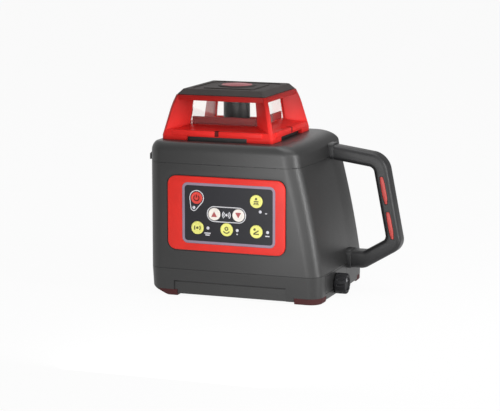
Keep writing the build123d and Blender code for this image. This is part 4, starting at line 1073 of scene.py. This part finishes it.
class LEVEL_OT_keys(bpy.types.Operator):
    """Seven keys with dished caps, and their signs"""
    bl_idname = "level.keys"
    bl_label = "Keys"

    def execute(self, context):
        s = context.scene.level_keypad
        slots = {"power": "key_red", "up": "key_white", "down": "key_white"}
        inks = {"power": "screen_red", "up": "print_red", "down": "print_red"}
        signs = self.signs()
        for name in KEYS:
            x, z, radius, face, back = key_place(name)
            stand, level, body = on_wall(x, z), face - KEY_DISH, name + "_key"
            key = placed(turned(self.profile(s, radius, face, back), 64), stand)
            add_piece(key, name + "_cap", slots.get(name, "key_yellow"), [name + "_button"], body=body)
            sign = placed(thicken(signs[name], level - s.ink, level + s.ink), stand)
            add_piece(sign, name + "_sign", inks.get(name, "print_dark"), body=body)
        return {"FINISHED"}

    @staticmethod
    def profile(s, radius, face, back):
        """Section of a key from its face to the end of its stem."""
        edge, stem, edge_steps = 0.6 * MM, 3 * MM, 5
        flange_front, flange_back = -0.1 * MM, -1.3 * MM
        dish = ((0, 1), (0.5, 1), (0.68, 0.55), (0.8, 0.08))
        points = [(radius * share, face - KEY_DISH * sunk) for share, sunk in dish]
        for step in range(edge_steps + 1):
            turn = pi / 2 * step / edge_steps
            points.append((radius - edge * (1 - sin(turn)), face - edge * (1 - cos(turn))))
        return points + [(radius, flange_front), (radius + s.flange, flange_front),
                         (radius + s.flange, flange_back), (stem, flange_back), (stem, back), (0, back)]

    @staticmethod
    def signs():
        """Plain signs on the keys, drawn flat about each key's middle."""
        wide, high = 3.1 * MM, 2.8 * MM
        arrow = ((-wide, -high), (wide, -high), (0, high))
        stroke, dot = 1.2 * MM, 1.3 * MM
        power = together(band(2.8 * MM, stroke, 125, 290), bar(stroke, 3.4 * MM, 0, 1.9 * MM))
        mode = together(disc(dot, 0, 2.5 * MM, 16), bar(5 * MM, stroke),
                        *[bar(stroke, 2.4 * MM, x * MM, -2.2 * MM, turn) for x, turn in
                          ((-1.8, -22), (0, 0), (1.8, 22))])
        scan = together(disc(dot, steps=16), *[band(3.1 * MM, stroke, start, 80) for start in (-40, 140)])
        speed = together(band(1.5 * MM, stroke, 0, 360, 0, 1.0 * MM), band(3.4 * MM, stroke, 205, 130))
        tilt = together(bar(6 * MM, stroke, 0, -2.4 * MM), bar(6 * MM, stroke, 0.1 * MM, -0.4 * MM, 32),
                        disc(dot, -1.6 * MM, 2.3 * MM, 16))
        return {"power": power, "up": flat_face(arrow), "down": flat_face([(-x, -y) for x, y in arrow]),
                "mode": mode, "scan": scan, "speed": speed, "tilt": tilt}


class LEVEL_OT_lamps(bpy.types.Operator):
    """Domed indicator lenses"""
    bl_idname = "level.lamps"
    bl_label = "Indicator lenses"

    def execute(self, context):
        r = context.scene.level_keypad.lamp
        low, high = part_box("indicator_lenses")
        face, back = main_low.y - low.y, main_low.y - high.y
        dome = ((0, 0), (0.45, 0.05), (0.8, 0.18), (0.97, 0.4), (1, 0.6))
        profile = [(r * share, face - drop * MM) for share, drop in dome] + [(r, back), (0, back)]
        domes = [placed(turned(profile, 32), on_wall(x, z)) for x, z in lamp_places()]
        add_piece(together(*domes), "lamp_domes", "lamp_lens", ["indicator_lenses"])
        return {"FINISHED"}


# Handle and knob

def grip_line(s, z, inward):
    """Place along X of the handle's outer line at a height, set inwards."""
    lean = 0.197
    return s.reach - inward * sqrt(1 + lean ** 2) - lean * (z - s.heel)


class LEVEL_OT_handle(bpy.types.Operator):
    """Carrying handle with collars at its roots and grooves for the inlays"""
    bl_idname = "level.handle"
    bl_label = "Handle"

    def execute(self, context):
        s, body = context.scene.level_handle, context.scene.level_body
        bite, groove_depth, groove_gap = 2.2 * MM, 1.6 * MM, 0.45 * MM
        top_bend, heel_bend, inner_bend = 20 * MM, 13 * MM, 6 * MM
        upper, lower = [right_wall(body, z) + side_bulge(body, z) for z in (cover_low.z, main_low.z)]
        ends = (upper - bite, lower - bite)
        outer = self.side(s, 0, 0, s.root_low, *ends)
        inner = self.side(s, s.grip, s.arm, s.root_high, *ends)
        line = outer + inner[::-1]
        loop = flat_face(line)
        bends = (0, top_bend, heel_bend, heel_bend, 0, 0, inner_bend, inner_bend, inner_bend, 0)
        self.round_corners(loop, line, bends)
        thicken(loop, -s.width / 2, s.width / 2)
        long_edges = [edge for edge in loop.edges
                      if is_level(edge) and not any(lies_at(edge, 0, end) for end in ends)]
        bevel(loop, long_edges, s.edge, 6)
        placed(tidy(loop), Matrix.Translation((0, s.offset, 0)) @ UPRIGHT)
        loop = carve(loop, inlay_strips(s, groove_depth, groove_gap))
        collars = [self.collar(s, upper, inner[0][1], outer[0][1]),
                   self.collar(s, lower, s.root_low, s.root_high)]
        add_piece(together(loop, *collars), "carrying_handle", "handle_plastic", ["handle"])
        return {"FINISHED"}

    @staticmethod
    def side(s, inward, drop, root, start, root_x):
        """One line of the loop, from the upper root round to the lower one."""
        top_slope, arm_slope, heel_share = 0.143, 0.6, 0.55
        corner_z = s.top - drop
        corner_x = grip_line(s, corner_z, inward)
        heel_z = s.heel + inward * heel_share
        heel_x = grip_line(s, heel_z, inward)
        return [(start, corner_z + top_slope * (corner_x - start)), (corner_x, corner_z), (heel_x, heel_z),
                (heel_x - (heel_z - root) / arm_slope, root), (root_x, root)]

    @staticmethod
    def round_corners(bm, points, radii):
        """Rounds the corners of a flat face, each with its own radius."""
        corners = bm.verts[:]
        for index, radius in enumerate(radii):
            if radius:
                here = Vector(points[index])
                back = Vector(points[index - 1]) - here
                ahead = Vector(points[(index + 1) % len(points)]) - here
                bevel(bm, [corners[index]], radius / tan(back.angle(ahead) / 2), 9, "VERTICES")

    @staticmethod
    def collar(s, wall, low, high):
        """Raised collar round a root."""
        half, end = s.width / 2 + s.collar, wall + s.collar_length
        plan = rounded_plan(s.offset - half, s.offset + half, low - s.collar, high + s.collar, s.edge, 5)
        ring = thicken(plan, wall - s.collar_length / 2, end)
        soft = 0.8 * s.collar
        bevel(ring, edges_at(ring, 2, end), soft, 3)
        return placed(ring, ALONG_X)


def inlay_strips(s, depth, grow):
    """Pointed strips in both sides of the grip: grown for the grooves, else a little sunk and soft."""
    taper, top_width, mid_width, end_width = 8 * MM, 3.2 * MM, 4.6 * MM, 2.3 * MM
    corner, sunk, soft = 0.8 * MM, 0.1 * MM, 0.35 * MM
    top = inlay_high.z - s.inlay_drop
    span = (inlay_high.z - inlay_low.z - s.inlay_gap) / 2
    strips = []
    for side, face in ((-1, s.offset - s.width / 2), (1, s.offset + s.width / 2)):
        for start in (top, top - span - s.inlay_gap):
            end = start - span
            widths = ((start + grow, top_width), (start - taper, mid_width), (end + taper, mid_width),
                      (end - grow, end_width))
            right = [(grip_line(s, z, s.grip / 2) + width / 2 + grow, z) for z, width in widths]
            left = [(grip_line(s, z, s.grip / 2) - width / 2 - grow, z) for z, width in reversed(widths)]
            strip = flat_face(right + left)
            bevel(strip, strip.verts[:], corner, 3, "VERTICES")
            shown = face + side * (grow or -sunk)
            reach = (shown, face - side * depth)
            thicken(strip, -max(reach), -min(reach))
            if not grow:
                bevel(strip, edges_at(strip, 2, -shown), soft, 2)
            strips.append(placed(strip, UPRIGHT))
    return together(*strips)


class LEVEL_OT_inlays(bpy.types.Operator):
    """Red inlays in both sides of the grip"""
    bl_idname = "level.inlays"
    bl_label = "Grip inlays"

    def execute(self, context):
        depth = 1.2 * MM
        strips = inlay_strips(context.scene.level_handle, depth, 0)
        add_piece(strips, "grip_inlays", "inlay_red", ["handle_inlays"])
        return {"FINISHED"}


class LEVEL_OT_knob(bpy.types.Operator):
    """Fluted thumbscrew of the battery drawer, with a mark on its face"""
    bl_idname = "level.knob"
    bl_label = "Thumbscrew"

    def execute(self, context):
        flutes, flute_depth, sharpness = 12, 0.9 * MM, 1.5
        thickness, shank, tip_bevel, bite = 11.4 * MM, 2.5 * MM, 0.8 * MM, 0.2 * MM
        mark_width, mark_length, mark_back, mark_face = 1.1 * MM, 3.4 * MM, 1.05 * MM, 0.92 * MM
        radius, front, tip = (knob_high.z - knob_low.z) / 2, knob_high.x, knob_low.x
        back = front - thickness

        def place(x, y, level):
            along, size, share = level
            wave = max(0, cos(flutes * atan2(y, x)))
            r = size - flute_depth * share * wave ** sharpness
            return r * x, r * y, along

        # Millimetres from the back or the front, inset or radius, and the share of the flutes' depth
        skirt = ((0, 0.4, 0), (0.4, 0, 0), (2.6, 0, 0), (3.2, 0, 1))
        crown = ((1.2, 0.1, 1), (0.5, 0.45, 1), (0, 1.2, 1))
        dish = ((0, 7, 0), (0.3, 6.6, 0), (1, 6.2, 0))
        levels = [(back + up * MM, radius - inset * MM, share) for up, inset, share in skirt]
        levels += [(front - down * MM, radius - inset * MM, share) for down, inset, share in crown]
        levels += [(front - down * MM, size * MM, share) for down, size, share in dish]
        knob = cap(draw_up(disc(1.0, steps=144), levels, place))
        rod = turned(((0, tip), (shank - tip_bevel, tip), (shank, tip + tip_bevel), (shank, back + bite),
                      (0, back + bite)), 32)
        middle = (0, (knob_low.y + knob_high.y) / 2, (knob_low.z + knob_high.z) / 2)
        stand = Matrix.Translation(middle) @ ALONG_X
        screw = placed(together(knob, rod), stand)
        add_piece(screw, "thumb_knob", "knob_plastic", ["lock_knob"], body="thumbscrew")
        mark = bar(mark_width, mark_length, 0, mark_length)
        thicken(mark, front - mark_back, front - mark_face)
        add_piece(placed(mark, stand), "knob_mark", "print_white", body="thumbscrew")
        return {"FINISHED"}


# What carries over from the solids

class LEVEL_OT_carried(bpy.types.Operator):
    """Finishes of the solids that show as they are"""
    bl_idname = "level.carried"
    bl_label = "Carried-over solids"

    def execute(self, context):
        for node in frame["nodes"].values():
            slot = node.data.materials[0].name
            node.data.materials.clear()
            node.data.materials.append(finish(slot))
        return {"FINISHED"}


# Stage

class LEVEL_OT_stage(bpy.types.Operator):
    """Floor, grey cards, soft lights, pale surroundings and the camera"""
    bl_idname = "level.stage"
    bl_label = "Stage"

    def execute(self, context):
        scene, floor_half = context.scene, 20
        scene.view_settings.view_transform = "Standard"
        self.sheet("floor", floor_half, self.white_floor(), Matrix())
        # Middle in metres, turn in degrees and half width of each card
        self.grey_card("side_card", (0.4, 0.7, 0.5), -22, 0.5)
        self.grey_card("front_card", (-0.44, -0.5, 0.3), 25, 0.3)
        self.surroundings(scene)
        # Place, target, width and height in metres, and watts of each lamp
        self.lamp("sheen_light", (0.07, -0.38, 0.1), (0.07, 0, 0.1), (0.18, 0.22), 0.6)
        self.lamp("wrap_light", (0.38, -0.46, 0.28), (0.06, 0, 0.12), (0.36, 0.56), 0.85)
        self.lamp("corner_light", (0.68, -0.1, 0.2), (0.05, 0, 0.1), (0.1, 0.6), 3)
        self.lamp("top_light", (0.1, 0.3, 1.9), (0, 0, 0.1), (1.4, 1.4), 12)
        self.camera(scene)
        return {"FINISHED"}

    @staticmethod
    def sheet(name, half, material, stand):
        """Flat square of the stage."""
        square = bmesh.new()
        bmesh.ops.create_grid(square, x_segments=1, y_segments=1, size=half, matrix=stand)
        made = solid_object(square, name)
        made.data.materials.append(material)
        return made

    @staticmethod
    def seen(tree):
        """One where a ray comes from the camera, a reflection or through glass."""
        path = tree.nodes.new("ShaderNodeLightPath")
        total = path.outputs["Is Camera Ray"]
        for name in ("Is Glossy Ray", "Is Transmission Ray"):
            total = shader_node(tree, "Math", 0, {0: total, 1: path.outputs[name]}, operation="MAXIMUM")
        return total

    def white_floor(self):
        """White floor that keeps a faint shadow."""
        grey, rough, glow_share = 0.85, 0.9, 0.94
        made, tree, principled = blank("white_floor")
        feed(tree, principled, {"Base Color": (grey, grey, grey, 1), "Roughness": rough})
        share = shader_node(tree, "Math", 0, {0: self.seen(tree), 1: glow_share}, operation="MULTIPLY")
        glow = shader_node(tree, "Emission", "Emission", {"Strength": 1.0})
        show_mix(tree, share, principled.outputs["BSDF"], glow)
        return made

    def grey_card(self, name, place, turn, half):
        """Upright grey square beside the set, seen in reflections only, that deepens a side of the body."""
        grey = 0.3
        made, tree, _ = blank(name)
        show(tree, shader_node(tree, "Emission", "Emission", {"Strength": grey}))
        stand = Matrix.Translation(place) @ Matrix.Rotation(radians(turn), 4, "Z") @ UPRIGHT
        card = self.sheet(name, half, made, stand)
        card.visible_camera = card.visible_diffuse = card.visible_shadow = card.visible_transmission = False

    def surroundings(self, scene):
        """White to the eye, plain soft light to the object."""
        soft_light = 0.18
        scene.world = bpy.data.worlds.new("studio")
        scene.world.use_nodes = True
        tree = scene.world.node_tree
        level = between(tree, self.seen(tree), soft_light, 1.0, (0, 1))
        feed(tree, tree.nodes["Background"], {"Color": (1, 1, 1, 1), "Strength": level})

    @staticmethod
    def lamp(name, place, target, size, watts):
        """Soft light of a width and height, aimed at a point."""
        data = bpy.data.lights.new(name, "AREA")
        data.shape = "RECTANGLE"
        data.size, data.size_y = size
        data.energy = watts
        light = bpy.data.objects.new(name, data)
        light.location = place
        aim = Vector(target) - Vector(place)
        light.rotation_euler = aim.to_track_quat("-Z", "Y").to_euler()
        bpy.context.scene.collection.objects.link(light)

    @staticmethod
    def camera(scene):
        """Camera at the photograph's viewing angle."""
        turn, rise, distance = radians(19.9), radians(9.7), 1.961
        target = Vector((14.1 * MM, 0, 82.6 * MM))
        data = bpy.data.cameras.new("camera")
        data.lens, data.sensor_width = 137.6, 36
        eye = bpy.data.objects.new("camera", data)
        back = Vector((sin(turn) * cos(rise), -cos(turn) * cos(rise), sin(rise)))
        eye.location = target + back * distance
        eye.rotation_euler = (-back).to_track_quat("-Z", "Y").to_euler()
        scene.collection.objects.link(eye)
        scene.camera = eye


OPERATORS = (LEVEL_OT_carried, LEVEL_OT_base, LEVEL_OT_feet, LEVEL_OT_main, LEVEL_OT_cover, LEVEL_OT_cage,
             LEVEL_OT_screens, LEVEL_OT_roof, LEVEL_OT_bezel, LEVEL_OT_panel, LEVEL_OT_keys, LEVEL_OT_lamps,
             LEVEL_OT_handle, LEVEL_OT_inlays, LEVEL_OT_knob, LEVEL_OT_stage)


class LEVEL_PT_panel(bpy.types.Panel):
    """Sidebar list of the level's sizes and pieces"""
    bl_label = "Laser level"
    bl_idname = "LEVEL_PT_panel"
    bl_space_type = "VIEW_3D"
    bl_region_type = "UI"
    bl_category = "Laser level"

    def draw(self, context):
        for operator in OPERATORS:
            self.layout.operator(operator.bl_idname)
        for group, kind in GROUPS.items():
            box = self.layout.box()
            for name in kind.__annotations__:
                box.prop(getattr(context.scene, group), name)


CLASSES = (*GROUPS.values(), *OPERATORS, LEVEL_PT_panel)


def register():
    for kind in CLASSES:
        bpy.utils.register_class(kind)
    for group, kind in GROUPS.items():
        setattr(bpy.types.Scene, group, PointerProperty(type=kind))


def unregister():
    for group in GROUPS:
        delattr(bpy.types.Scene, group)
    for kind in reversed(CLASSES):
        bpy.utils.unregister_class(kind)


def main():
    for item in [item for item in bpy.data.objects if item.name in ("Cube", "Light", "Camera")]:
        bpy.data.objects.remove(item)
    register()
    for operator in OPERATORS:
        group, name = operator.bl_idname.split(".")
        getattr(getattr(bpy.ops, group), name)()


if __name__ == "__main__":
    main()
